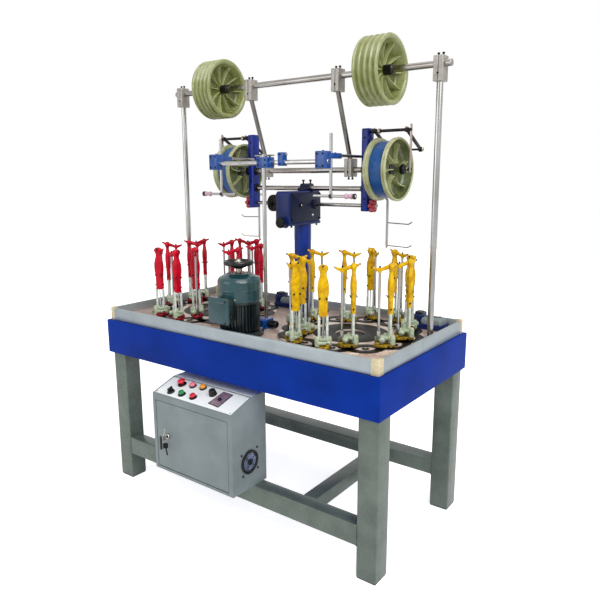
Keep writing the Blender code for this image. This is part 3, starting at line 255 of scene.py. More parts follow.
def slab(low, high, edge=0.002, steps=3):
    """A block with rounded edges: point = corner centre + (edge - inset) (cos t, sin t) in plan, with the
    inset following a quarter circle at the top and the bottom."""
    low, high = np.minimum(low, high), np.maximum(low, high)
    middle, half = (low + high) / 2, (high - low) / 2
    edge = min(edge, half.min() * 0.99)
    corners = np.array([[1, 1], [-1, 1], [-1, -1], [1, -1]])
    centres = corners * (half[:2] - edge)
    t = np.pi / 2 * (np.arange(4)[:, None] + np.linspace(0, 1, steps + 1)[None])
    rim = np.stack([np.cos(t), np.sin(t)], -1)
    q = np.linspace(0, np.pi / 2, steps + 1)
    bottom = np.stack([edge * np.sin(q), -half[2] + edge * (1 - np.cos(q))], -1)
    rows = np.concatenate([[[0.0, -half[2]]], bottom[1:], (bottom * [1, -1])[::-1][:-1], [[0.0, half[2]]]])
    plan = centres[None, :, None] + rows[:, :1, None, None] * rim[None]
    points = np.concatenate([plan.reshape(len(rows), -1, 2),
                             np.repeat(rows[:, 1:], 4 * (steps + 1), axis=1)[..., None]], -1)
    return shell(points + middle)


def block(centre, size, edge=0.002, steps=3):
    """A rounded block round a centre."""
    centre, size = np.asarray(centre, float), np.asarray(size, float)
    return slab(centre - size / 2, centre + size / 2, edge, steps)


def plate(outline, low, high, at=(0, 0, 0), along=(0, 0, 1), edge=0.001):
    """A closed outline (x, y) drawn up from low to high, its rims set in by edge along the outline's mitred
    normals; x runs along u and y along v of the axis."""
    outline = np.asarray(outline, float)
    area = np.sum(outline[:, 0] * np.roll(outline[:, 1], -1) - np.roll(outline[:, 0], -1) * outline[:, 1])
    if area < 0:
        outline = outline[::-1]
    step = np.roll(outline, -1, 0) - outline
    step /= np.linalg.norm(step, axis=1, keepdims=True)
    normal = np.stack([step[:, 1], -step[:, 0]], -1)
    mitre = normal + np.roll(normal, 1, 0)
    mitre /= np.maximum(np.sum(mitre * normal, axis=1, keepdims=True), 0.3)
    rows = [(edge, low), (edge * 0.3, low + edge * 0.3), (0, low + edge), (0, high - edge),
            (edge * 0.3, high - edge * 0.3), (edge, high)]
    points = [np.concatenate([outline - mitre * inset, np.full((len(outline), 1), height)], 1)
              for inset, height in rows]
    return shell(np.asarray(at) + np.array(points) @ axes(along))


def stadium(length, width, steps=8):
    """A slot-shaped outline along x: two half circles a distance apart."""
    t = np.linspace(-np.pi / 2, np.pi / 2, steps)
    right = np.stack([np.cos(t), np.sin(t)], -1) * width / 2 + [(length - width) / 2, 0]
    return np.concatenate([right, -right])


def smooth_knots(knots, count):
    """A Catmull-Rom line through the knots: each span is the cubic whose end slopes are half the chord of
    the neighbours."""
    k = np.asarray(knots, float)
    k = np.concatenate([2 * k[:1] - k[1:2], k, 2 * k[-1:] - k[-2:-1]])
    s = np.linspace(0, len(k) - 3 - 1e-9, count)
    i = s.astype(int)
    t = (s - i)[:, None]
    p0, p1, p2, p3 = k[i], k[i + 1], k[i + 2], k[i + 3]
    return 0.5 * (2 * p1 + (p2 - p0) * t + (2 * p0 - 5 * p1 + 4 * p2 - p3) * t ** 2
                  + (3 * p1 - p0 - 3 * p2 + p3) * t ** 3)


def screw(at, along, radius=0.003, height=0.003):
    """A socket head: a turned head with rounded rim and a six-sided recess, r_hex(t) = r cos 30 / cos of
    the angle from the nearest flat."""
    flat = np.pi / 3
    profile = [(0, height * 0.45), (radius * 0.5, height * 0.45), (radius * 0.5, height),
               (radius * 0.85, height), (radius, height * 0.8), (radius, 0), (0, 0)]

    def hexagon(t):
        return radius * 0.5 * (math.cos(flat / 2) / np.cos((t % flat) - flat / 2) - 1)

    return turned(profile, at, along, 18, ripple=hexagon, share=[0, 1, 1, 0, 0, 0, 0])


def hex_bolt(at, along, radius=0.006, height=0.005):
    """A hexagon head on a washer: a six-sided turned head over a round disc."""
    at, along = np.asarray(at, float), np.asarray(along, float)
    washer = turned([(0, 0.0012), (radius * 1.25, 0.0012), (radius * 1.25, 0), (0, 0)], at, along, 20)
    head = turned([(0, height), (radius * 0.8, height), (radius, height * 0.82), (radius, 0.001), (0, 0.001)],
                  at, along, 6)
    return [washer, head]


def around(radius, degrees, height=0.0):
    """Places on a circle about +Z: (r cos a, r sin a, height)."""
    a = np.radians(degrees)
    return np.stack([radius * np.cos(a), radius * np.sin(a), np.full_like(a, height)], -1)


def mirrored(profile):
    """A profile (r, h) followed by its mirror image in h."""
    profile = np.asarray(profile, float)
    return np.concatenate([profile, (profile * [1, -1])[::-1]])


def rounded(low, high, radius, steps=4):
    """A rectangle from its low to its high corner (x, y) with rounded corners."""
    (x0, y0), (x1, y1) = low, high
    return softened([(x0, y0), (x1, y0), (x1, y1), (x0, y1)], radius, steps, True)


def button(top, radius, height, shoulder, low=0.0):
    """Half profile of a chamfered button: flat top, shoulder, side and underside."""
    return [(0, height), (top, height), (radius, shoulder), (radius, low), (0, low)]


def pressed(half, radius, rows):
    """A pressed lid over a rounded rectangle: each row (inset, height) is the outline times
    1 - inset / half."""
    inset, height = np.array(rows).T[..., None, None]
    plan = rounded(-half, half, radius)[None] * (1 - inset / half)
    return shell(np.concatenate([plan, height + 0 * plan[..., :1]], -1))


def web_ribs(at, along, count, radii, bend, rise, width, top):
    """Ribs on both faces of a web: rib k runs out over the radii at the angle 2 pi k / count + bend, stands
    rise tall over the web and narrows from its width to a share of it at the top."""
    u, v, w = axes(along)
    section = np.array([(-0.5, -0.5), (0.5, -0.5), (top, 0.5), (-top, 0.5)])
    scale = np.stack([np.full(len(radii), width), rise], -1)
    ribs = []
    for face in (-1, 1):
        lift = (face * (WEB_HALF + rise / 2))[:, None] * w
        for k in range(count):
            a = 2 * math.pi * k / count + bend
            radial = np.cos(a)[:, None] * u + np.sin(a)[:, None] * v
            ribs.append(carried(at + radii[:, None] * radial + lift, section * [1, face], w, scale))
    return ribs


def make(name, finish, shapes, body="machine", replaces=(), crease=32):
    """Join shapes into one piece: doubles merged, faces outwards, smooth but for edges over crease
    degrees, with its finish, its body and the solids that it stands for."""
    points, faces, start = [], [], 0
    for verts, quads, caps in shapes:
        points.append(verts)
        faces += (quads + start).tolist() + [(cap + start).tolist() for cap in caps]
        start += len(verts)
    mesh = bpy.data.meshes.new(name)
    mesh.from_pydata(np.concatenate(points) + BENCH, [], faces)
    bm = bmesh.new()
    bm.from_mesh(mesh)
    bmesh.ops.remove_doubles(bm, verts=bm.verts, dist=2e-6)
    bmesh.ops.recalc_face_normals(bm, faces=bm.faces)
    bm.to_mesh(mesh)
    bm.free()
    mesh.shade_smooth()
    mesh.set_sharp_from_angle(angle=math.radians(crease))
    material, slot = FINISHES[finish]
    mesh.materials.append(material)
    piece = bpy.data.objects.new(name, mesh)
    bpy.context.scene.collection.objects.link(piece)
    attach(piece, body)
    if replaces:
        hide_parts(*replaces)
    return piece


# Finishes

def linear(code):
    """Linear RGBA of an sRGB hex colour."""
    s = np.array([int(code[i:i + 2], 16) for i in (1, 3, 5)]) / 255
    rgb = np.where(s <= 0.04045, s / 12.92, ((s + 0.055) / 1.055) ** 2.4)
    return (*rgb.tolist(), 1.0)


def add(tree, kind, inputs=None, **settings):
    """Add a node; an input's value is set, and an output socket given for it is linked."""
    made = tree.nodes.new(kind)
    for key, value in settings.items():
        setattr(made, key, value)
    for key, value in (inputs or {}).items():
        if isinstance(value, bpy.types.NodeSocket):
            tree.links.new(value, made.inputs[key])
        else:
            made.inputs[key].default_value = value
    return made


FINISHES = {}


def surface(name, slot, colour, tint, roughness, patch=60.0, grain=1.5, relief=0.02, stretch=(1, 1, 1),
            metallic=0.0, vary=0.08, spots=None, **sockets):
    """A finish on Object coordinates. patch and grain are sizes in millimetres: a soft noise of patch size
    mixes colour and tint, a fine one of grain size gives bump of relief millimetres and varies the
    roughness, and spots adds a third colour where a cell noise peaks."""
    material = bpy.data.materials.new(name)
    material.use_nodes = True
    tree = material.node_tree
    shader = tree.nodes["Principled BSDF"]
    place = add(tree, "ShaderNodeTexCoord").outputs["Object"]
    grained = add(tree, "ShaderNodeMapping", {"Vector": place, "Scale": stretch}).outputs["Vector"]
    soft = add(tree, "ShaderNodeTexNoise", {"Vector": place, "Scale": 1000 / patch, "Detail": 4.0,
                                            "Roughness": 0.6})
    fine = add(tree, "ShaderNodeTexNoise", {"Vector": grained, "Scale": 1000 / grain, "Detail": 3.0})
    blend = add(tree, "ShaderNodeMapRange", {"Value": soft.outputs["Fac"], "From Min": 0.35,
                                             "From Max": 0.68})
    mixed = add(tree, "ShaderNodeMix", {"Factor": blend.outputs["Result"], 6: linear(colour),
                                        7: linear(tint)}, data_type="RGBA")
    if spots:
        code, size, amount = spots
        cells = add(tree, "ShaderNodeTexNoise", {"Vector": place, "Scale": 1000 / size, "Detail": 6.0,
                                                 "Roughness": 0.7})
        peak = add(tree, "ShaderNodeMapRange", {"Value": cells.outputs["Fac"], "From Min": 0.60,
                                                "From Max": 0.72, "To Max": amount})
        mixed = add(tree, "ShaderNodeMix", {"Factor": peak.outputs["Result"], 6: mixed.outputs[2],
                                            7: linear(code)}, data_type="RGBA")
    gloss = add(tree, "ShaderNodeMapRange", {"Value": fine.outputs["Fac"], "From Min": 0.3, "From Max": 0.7,
                                             "To Min": max(0.02, roughness - vary),
                                             "To Max": min(1.0, roughness + vary)})
    bump = add(tree, "ShaderNodeBump", {"Height": fine.outputs["Fac"], "Distance": relief / 1000,
                                        "Strength": 0.6})
    tree.links.new(mixed.outputs[2], shader.inputs["Base Color"])
    tree.links.new(gloss.outputs["Result"], shader.inputs["Roughness"])
    tree.links.new(bump.outputs["Normal"], shader.inputs["Normal"])
    shader.inputs["Metallic"].default_value = metallic
    for key, value in sockets.items():
        shader.inputs[key.replace("_", " ")].default_value = value
    FINISHES[name] = (material, slot)


def mix_finishes():
    """Every finish of the machine, named for what it is and how it is made."""
    dull = {"Specular IOR Level": 0.25}
    # Air-dried grey-green enamel on welded tube: brush-soft patches of 90 mm, orange peel of 2 mm
    surface("frame_enamel", "frame_paint", "#6b776e", "#58635b", 0.30, 90, 2.0, 0.03,
            spots=("#6b665a", 22, 0.5), metallic=0.25, Coat_Weight=0.25, Coat_Roughness=0.12)
    # Rolled royal blue enamel on the gear bed: wide even patches, orange peel of 1.6 mm
    surface("bed_enamel", "blue_paint", "#08349a", "#072b80", 0.50, 240, 1.6, 0.02,
            Specular_IOR_Level=0.06)
    # Navy blue enamel on the flat side bars: even patches of 60 mm, orange peel of 1.6 mm
    surface("side_enamel", "blue_paint", "#0f2c94", "#0b2274", 0.26, 60, 1.6, 0.02, Coat_Weight=0.15,
            Coat_Roughness=0.1, **dull)
    # Milled deck under an oil film: patches of 70 mm, cutter marks 1.2 mm apart along X
    surface("oiled_deck", "deck_steel", "#d2beb1", "#b39b8c", 0.34, 70, 1.2, 0.02, (0.05, 1, 1),
            metallic=0.25, spots=("#6f5c50", 34, 0.8))
    # Scraped face of the track plate between the tracks: pinkish oil film in patches of 22 mm
    surface("scraped_iron", None, "#efdfd3", "#cbb4a6", 0.28, 22, 1.0, 0.02, metallic=0.25,
            spots=("#241d1b", 17, 0.95))
    # Satin anodised strip, drawn along its length: lines 0.6 mm apart
    surface("drawn_aluminium", "fence_aluminium", "#b3bdc1", "#a3adb2", 0.36, 120, 0.6, 0.006,
            (0.02, 0.02, 1), metallic=0.6, vary=0.05)
    # Machined cream nylon, a little soiled at 8 mm
    surface("cream_nylon", "cream_plastic", "#ddd2b0", "#c6b78e", 0.42, 8, 0.5, 0.01,
            Subsurface_Weight=0.1, Subsurface_Scale=0.004)
    # Oiled cast iron of the track and the horn gears: sand-cast grain of 1.4 mm, oil patches of 26 mm
    surface("oiled_iron", None, "#060506", "#0e0b0b", 0.42, 26, 1.4, 0.06, vary=0.16,
            spots=("#43342b", 10, 0.4), Specular_IOR_Level=0.2)
    # Injection-moulded nylon of the carriers: flow shading of 20 to 24 mm, spark-eroded grain of 0.4 mm
    surface("red_nylon", "carrier_red", "#d2022a", "#a80320", 0.34, 24, 0.4, 0.008, Subsurface_Weight=0.03,
            Subsurface_Scale=0.003, **dull)
    surface("yellow_nylon", "carrier_yellow", "#ecc200", "#c48a00", 0.34, 20, 0.4, 0.008,
            Subsurface_Weight=0.03, Subsurface_Scale=0.003, **dull)
    # The feet of the same nylon, soaked with track oil: dark patches of 7 to 9 mm
    surface("oily_red_nylon", "carrier_red", "#a80a20", "#5c0a14", 0.24, 9, 0.5, 0.01,
            spots=("#120c0c", 7, 1.0))
    surface("oily_yellow_nylon", "carrier_yellow", "#c09a0c", "#5c4a0c", 0.24, 9, 0.5, 0.01,
            spots=("#14110a", 7, 1.0))
    # Natural glass-filled nylon of the levers: cloudy at 7 mm
    surface("pale_nylon", None, "#c6d0b6", "#93a483", 0.28, 7, 0.6, 0.02, Subsurface_Weight=0.2,
            Subsurface_Scale=0.004)
    # Drawn glass rods that guide the wire, green-grey: faint cloud of 16 mm
    surface("glass_rod", None, "#e9efe6", "#b4c0b2", 0.08, 16, 0.8, 0.002, vary=0.03, Coat_Weight=0.8,
            Coat_Roughness=0.03)
    # Black oxide on screws and shoes: fine grain of 0.5 mm
    surface("black_oxide", None, "#0c0c0d", "#181716", 0.36, 6, 0.5, 0.01, metallic=0.6)
    # Centreless-ground shaft: rings 0.4 mm apart across X, faint handling film of 200 mm
    surface("ground_shaft", "shaft_steel", "#b9b6b2", "#9a938c", 0.17, 200, 0.4, 0.002, (1, 0.05, 0.05),
            metallic=1.0, vary=0.04)
    # The same steel standing up: rings 0.4 mm apart across Z
    surface("ground_post", "shaft_steel", "#cfcecd", "#b3b1ae", 0.18, 200, 0.4, 0.002, (0.05, 0.05, 1),
            metallic=1.0, vary=0.04)
    # Duller ground rods of the leaning struts and the hook wires: rings 0.4 mm apart
    surface("strut_steel", "clamp_aluminium", "#8f8b86", "#706b66", 0.20, 200, 0.4, 0.002, (0.05, 0.05, 1),
            metallic=1.0, vary=0.04)
    # Hard-chromed rod, brighter: polishing lines 0.5 mm apart
    surface("chromed_rod", "shaft_steel", "#d9d9d8", "#c3c1be", 0.10, 50, 0.5, 0.002, (1, 0.05, 0.05),
            metallic=1.0, vary=0.04)
    # Dark teal enamel on the motor's ribbed casting: grain of 1.5 mm, dust in patches of 16 mm
    surface("teal_enamel", "motor_paint", "#0d1f23", "#091519", 0.30, 45, 1.5, 0.04,
            spots=("#213c42", 16, 0.45), Coat_Weight=0.3, Coat_Roughness=0.12)
    # The same enamel on pressed sheet: orange peel of 2.2 mm, patches of 60 mm
    surface("teal_sheet_enamel", "motor_paint", "#1a484e", "#153a3f", 0.24, 60, 2.2, 0.015,
            Coat_Weight=0.5, Coat_Roughness=0.08)
    # Compression-moulded phenolic: faint flow marks of 12 mm
    surface("black_phenolic", "black_plastic", "#0b0b0c", "#151414", 0.24, 12, 0.8, 0.01)
    # Zinc-plated hub, bolts and nuts: spangle of 3 mm
    surface("zinc_plate", None, "#c8c2b2", "#a89f8a", 0.28, 3, 0.4, 0.006, metallic=1.0)
    # Sprayed blue enamel on the column: grain of 1.8 mm
    surface("column_enamel", "column_paint", "#0c38a2", "#0a2c7c", 0.28, 80, 1.8, 0.02, Coat_Weight=0.15,
            Coat_Roughness=0.08, **dull)
    # Lighter blue enamel of the guide's clamp blocks: grain of 1.4 mm
    surface("block_enamel", "column_paint", "#1050a4", "#0d3d80", 0.26, 14, 1.4, 0.03, Coat_Weight=0.3,
            Coat_Roughness=0.1)
    # Blue enamel on the gearbox's sand casting: grain of 2.4 mm, oily patches of 26 mm
    surface("casting_enamel", "column_paint", "#0c276e", "#081a48", 0.34, 40, 2.4, 0.10,
            spots=("#080f2a", 26, 0.7), Coat_Weight=0.15, Coat_Roughness=0.2, **dull)
    # Navy enamel on the gearbox's side covers and cap, darker as painted shade on its sides: grain of 2.2 mm,
    # oily patches of 24 mm
    surface("navy_shade_enamel", "column_paint", "#0a173d", "#07102a", 0.36, 36, 2.2, 0.08,
            spots=("#080d1c", 24, 0.6), **dull)
    # Bead-blasted die-cast aluminium of the clamps: grain of 0.7 mm
    surface("blasted_aluminium", "clamp_aluminium", "#bab6b0", "#9f9a93", 0.46, 30, 0.7, 0.02, metallic=0.7)
    # Cast pale green nylon of the rims: cloudy at 40 mm, fine grain of 0.8 mm
    surface("green_nylon", "wheel_plastic", "#babd92", "#9b9d6a", 0.24, 40, 0.8, 0.01,
            Subsurface_Weight=0.05, Subsurface_Scale=0.008, Coat_Weight=0.3, Coat_Roughness=0.08)
    # The ridged rim of the guide pulleys, of the same cast nylon: clouds of 60 mm
    surface("ridge_nylon", "wheel_plastic", "#a2a878", "#80863f", 0.20, 60, 0.8, 0.008,
            Subsurface_Weight=0.05, Subsurface_Scale=0.008, Coat_Weight=0.4, Coat_Roughness=0.06)
    # The webs of the pulleys and the wheels, thin, in darker copies of the rims' nylon as painted shade:
    # clouds of 26 and 30 mm
    surface("shaded_web_nylon", "wheel_plastic", "#757c38", "#586026", 0.26, 26, 1.2, 0.02, Coat_Weight=0.3,
            Coat_Roughness=0.1)
    surface("shaded_recess_nylon", "wheel_plastic", "#6c764a", "#4b5632", 0.26, 30, 1.2, 0.02, Coat_Weight=0.3,
            Coat_Roughness=0.1)
    # The ribs, a paler copy of the same nylon as painted highlight, some light going in: clouds of 30 mm
    surface("lit_rib_nylon", "wheel_plastic", "#c2c696", "#a0a66a", 0.24, 30, 0.8, 0.008,
            Subsurface_Weight=0.15, Subsurface_Scale=0.008, Coat_Weight=0.25, Coat_Roughness=0.08)
    # Blue rubber tread, buffed smooth: grain of 0.9 mm
    surface("blue_rubber", None, "#0b58a2", "#083c74", 0.36, 50, 0.9, 0.02, spots=("#2f86cc", 30, 0.4))
    # Moulded red phenolic of the lobed knobs: flow marks of 9 mm
    surface("red_phenolic", "knob_red", "#c00c30", "#930a26", 0.20, 9, 0.7, 0.01, Coat_Weight=0.4,
            Coat_Roughness=0.06)
    # Blackened and oiled steel of the press arms: scale in patches of 15 mm
    surface("blackened_steel", "arm_black", "#1c1818", "#2e2624", 0.30, 15, 0.8, 0.03, metallic=0.6)
    # Cream roller, turned from cast nylon: grain of 0.8 mm
    surface("cream_roller", None, "#f0dcc6", "#e0c6ac", 0.36, 22, 0.8, 0.01, Subsurface_Weight=0.1,
            Subsurface_Scale=0.004)
    # Drawn steel strap on the axle's end, clear lacquered: grain of 0.5 mm
    surface("lacquered_steel", None, "#c9b8b0", "#ab9a92", 0.26, 9, 0.5, 0.01, metallic=0.7)
    # Moulded rose bush of the wire guides: cloudy at 8 mm
    surface("rose_bush", None, "#d9b6c8", "#c394ae", 0.22, 8, 0.6, 0.01, Subsurface_Weight=0.1,
            Subsurface_Scale=0.003)
    # Light grey powder coat of the cabinet and the bracket covers: orange peel of 1.1 mm
    surface("powder_coat", "cabinet_paint", "#838e90", "#747f81", 0.42, 150, 1.1, 0.03)
    # Paler powder coat of the sloping control panel, also on the cabinet's top as painted light: orange peel
    # of 1.1 mm
    surface("panel_coat_and_painted_light", "cabinet_paint", "#f0f3f3", "#e6eaea", 0.38, 90, 1.1, 0.02)
    # Neoprene seals and feet, and the black of the fan cover's slots as painted shade: grain of 0.8 mm
    surface("black_seal_and_slot_shade", None, "#121213", "#1c1c1d", 0.62, 9, 0.8, 0.03)
    # Cast acrylic window of the display, purple-brown: clouds of 18 mm
    surface("display_acrylic", None, "#8a707e", "#6e5864", 0.16, 18, 1.2, 0.004, Coat_Weight=0.6,
            Coat_Roughness=0.04)
    # Moulded lenses and caps of the controls: grain of 0.5 to 0.9 mm
    surface("red_cap", "button_red", "#dd1230", "#be0c26", 0.26, 9, 0.5, 0.006, Coat_Weight=0.3)
    surface("rose_lens", None, "#ee8296", "#dd6780", 0.18, 7, 0.9, 0.01, Coat_Weight=0.5)
    surface("green_cap", "button_green", "#0f8f4c", "#0a763e", 0.26, 9, 0.5, 0.006, Coat_Weight=0.3)
    surface("amber_lens", None, "#ee9c2c", "#d98218", 0.18, 7, 0.9, 0.01, Coat_Weight=0.5)
    # Nickel-plated lock, keys and panel screws: grain of 0.4 mm
    surface("nickel_plate", None, "#cfcfcc", "#b5b4b0", 0.16, 6, 0.4, 0.004, metallic=1.0, vary=0.05)
    # Bluish lacquer on the fan's pressed blades: grain of 0.8 mm
    surface("blade_lacquer", None, "#93a0c0", "#5f6e94", 0.30, 14, 0.8, 0.01, Coat_Weight=0.3)


# Sizes and colours that a user may change

def metres(name, description, default):
    """A length in metres."""
    return FloatProperty(name=name, description=description, default=default, unit='LENGTH')


def number(name, description, default):
    """A count."""
    return IntProperty(name=name, description=description, default=default)


class BenchSettings(bpy.types.PropertyGroup):
    """Rounding of the bench and its fence."""

    tube_edge: metres("Tube corner", "Outer corner radius of the square tube", 0.005)
    bed_edge: metres("Bed edge", "Edge radius of the gear bed's skirt", 0.003)
    strip_edge: metres("Strip edge", "Edge radius of the fence strips", 0.001)


class HeadSettings(bpy.types.PropertyGroup):
    """The two braiding heads."""

    bottle_bottom: metres("Bottle bottom", "Underside of the moulded bottle above the track", 0.122)
    bottle_height: metres("Bottle height", "Height of the moulded bottle", 0.183)
    bottle_depth: FloatProperty(name="Bottle depth", description="Depth of the bottle over its width",
                                default=0.58, subtype='FACTOR')
    horn_gears: number("Horn gears", "Number of horn gears round each head", 12)
    gear_ring: metres("Gear ring", "Radius of the circle of horn gears", 0.232)
    track_swing: metres("Track swing", "How far a track swings out and in", 0.040)


class MotorSettings(bpy.types.PropertyGroup):
    """The upright motor."""

    fins: number("Fins", "Number of cooling fins on the body", 36)
    fin_depth: metres("Fin depth", "Depth of a cooling fin", 0.010)


class WheelSettings(bpy.types.PropertyGroup):
    """Take-up wheels and guide pulleys."""

    wheel_ribs: number("Wheel ribs", "Ribs on each face of a take-up wheel", 6)
    pulley_ribs: number("Pulley ribs", "Ribs on each face of a guide pulley", 10)
    rib_width: metres("Rib width", "Thickness of a take-up wheel's rib", 0.004)


class CabinetSettings(bpy.types.PropertyGroup):
    """The control cabinet."""

    guard_rings: number("Guard rings", "Wire rings of the fan guard", 4)


class StageSettings(bpy.types.PropertyGroup):
    """Camera and light."""

    lens: FloatProperty(name="Lens", description="Focal length over a 36 mm sensor, in millimetres",
                        default=36.352)
    key: FloatProperty(name="Key light", description="Power of the large lamp at the right", default=46.0,
                       unit='POWER')
    fill: FloatProperty(name="Fill light", description="Power of the lamps at the left and the top",
                        default=16.0, unit='POWER')
    sun: FloatProperty(name="Sun", description="Strength of the soft light from the front right",
                       default=1.55)
    sky: FloatProperty(name="Sky light", description="Strength of the even light all round", default=0.40)
    floor_glow: FloatProperty(name="Floor glow", default=0.72,
                              description="Light added to the floor where the camera sees it")
    floor_colour: FloatVectorProperty(name="Floor", description="Colour of the floor", subtype='COLOR',
                                      size=4, default=linear("#fcfcfc"), min=0.0, max=1.0)


class BRAIDER_OT_bench(bpy.types.Operator):
    """Legs, stretchers, cross member, gear bed, fence and deck."""

    bl_idname = "braider.bench"
    bl_label = "Bench and deck"

    def execute(self, context):
        sizes = context.scene.braider_bench
        self.legs(sizes)
        self.stretchers(sizes)
        make("bed_skirt", "bed_enamel", [slab(*box_of("gear_bed"), sizes.bed_edge, 4)], replaces=["gear_bed"])
        self.fence(sizes)
        make("deck", "oiled_deck", [slab(*box_of("deck_plate"), 0.001, 2)], replaces=["deck_plate"])
        return {'FINISHED'}

    def legs(self, sizes):
        """Square tubes with a thin collar under the bed, each on a foot pad."""
        pad, collar, inset = 0.005, 0.002, 0.003
        nodes = [f"leg_{row}_{side}" for row, _ in ROWS for side, _ in SIDES]
        tubes, pads = [], []
        for node in nodes:
            low, high = box_of(node)
            tubes.append(slab(low + [0, 0, pad - 0.001], high, sizes.tube_edge, 4))
            tubes.append(slab([*(low[:2] - collar), high[2] - 0.005], [*(high[:2] + collar), high[2]],
                              collar, 2))
            pads.append(slab(low + [inset, inset, 0], [*(high[:2] - inset), pad], 0.001, 1))
        make("legs", "frame_enamel", tubes, replaces=nodes)
        make("foot_pads", "black_seal_and_slot_shade", pads)

    def stretchers(self, sizes):
        """Rails between the legs, with a weld bead round both ends of the long ones."""
        members = ["front_stretcher", "back_stretcher", "cross_member"]
        rails = [slab(*box_of(member), sizes.tube_edge * 0.8) for member in members]
        for member in members[:2]:
            low, high = box_of(member)
            outline = rounded(low[1:], high[1:], 0.004, 3)
            outline = np.concatenate([outline, outline[:1]])
            for x in (low[0], high[0]):
                rails.append(carried(np.insert(outline, 0, x, axis=1), circle(0.0022, 6), (1, 0, 0)))
        make("stretchers", "frame_enamel", rails, replaces=members)

    def fence(self, sizes):
        """Drawn strips on a thin seal, with a rounded L-shaped post at each corner."""
        nodes = ["fence_front", "fence_back", "fence_left", "fence_right"]
        strips, seals, posts = [], [], []
        for node in nodes:
            low, high = box_of(node)
            strips.append(slab(low + [0, 0, 0.0015], high, sizes.strip_edge, 2))
            seals.append(slab([*(low[:2] - 0.0012), low[2]], [*(high[:2] + 0.0012), low[2] + 0.0016],
                              0.0004, 1))
        make("fence_strips", "drawn_aluminium", strips, replaces=nodes)
        make("fence_seal", "black_seal_and_slot_shade", seals)
        wall, chamfer = 0.010, 0.004
        for row, sy in ROWS:
            for side, sx in SIDES:
                low, high = box_of(f"fence_corner_{row}_{side}")
                middle, half = (low + high) / 2, (high[0] - low[0]) / 2
                inner = half - wall
                outside = softened([(half, -half), (half, half), (-half, half)], 0.017, 8)
                inside = [(-half, inner), (inner - chamfer, inner), (inner, inner - chamfer), (inner, -half)]
                outline = np.concatenate([outside, inside]) * [sx, sy]
                posts.append(plate(outline, low[2], high[2], (*middle[:2], 0), edge=0.0015))
        make("fence_corners", "cream_nylon", posts,
             replaces=[f"fence_corner_{row}_{side}" for row, _ in ROWS for side, _ in SIDES])


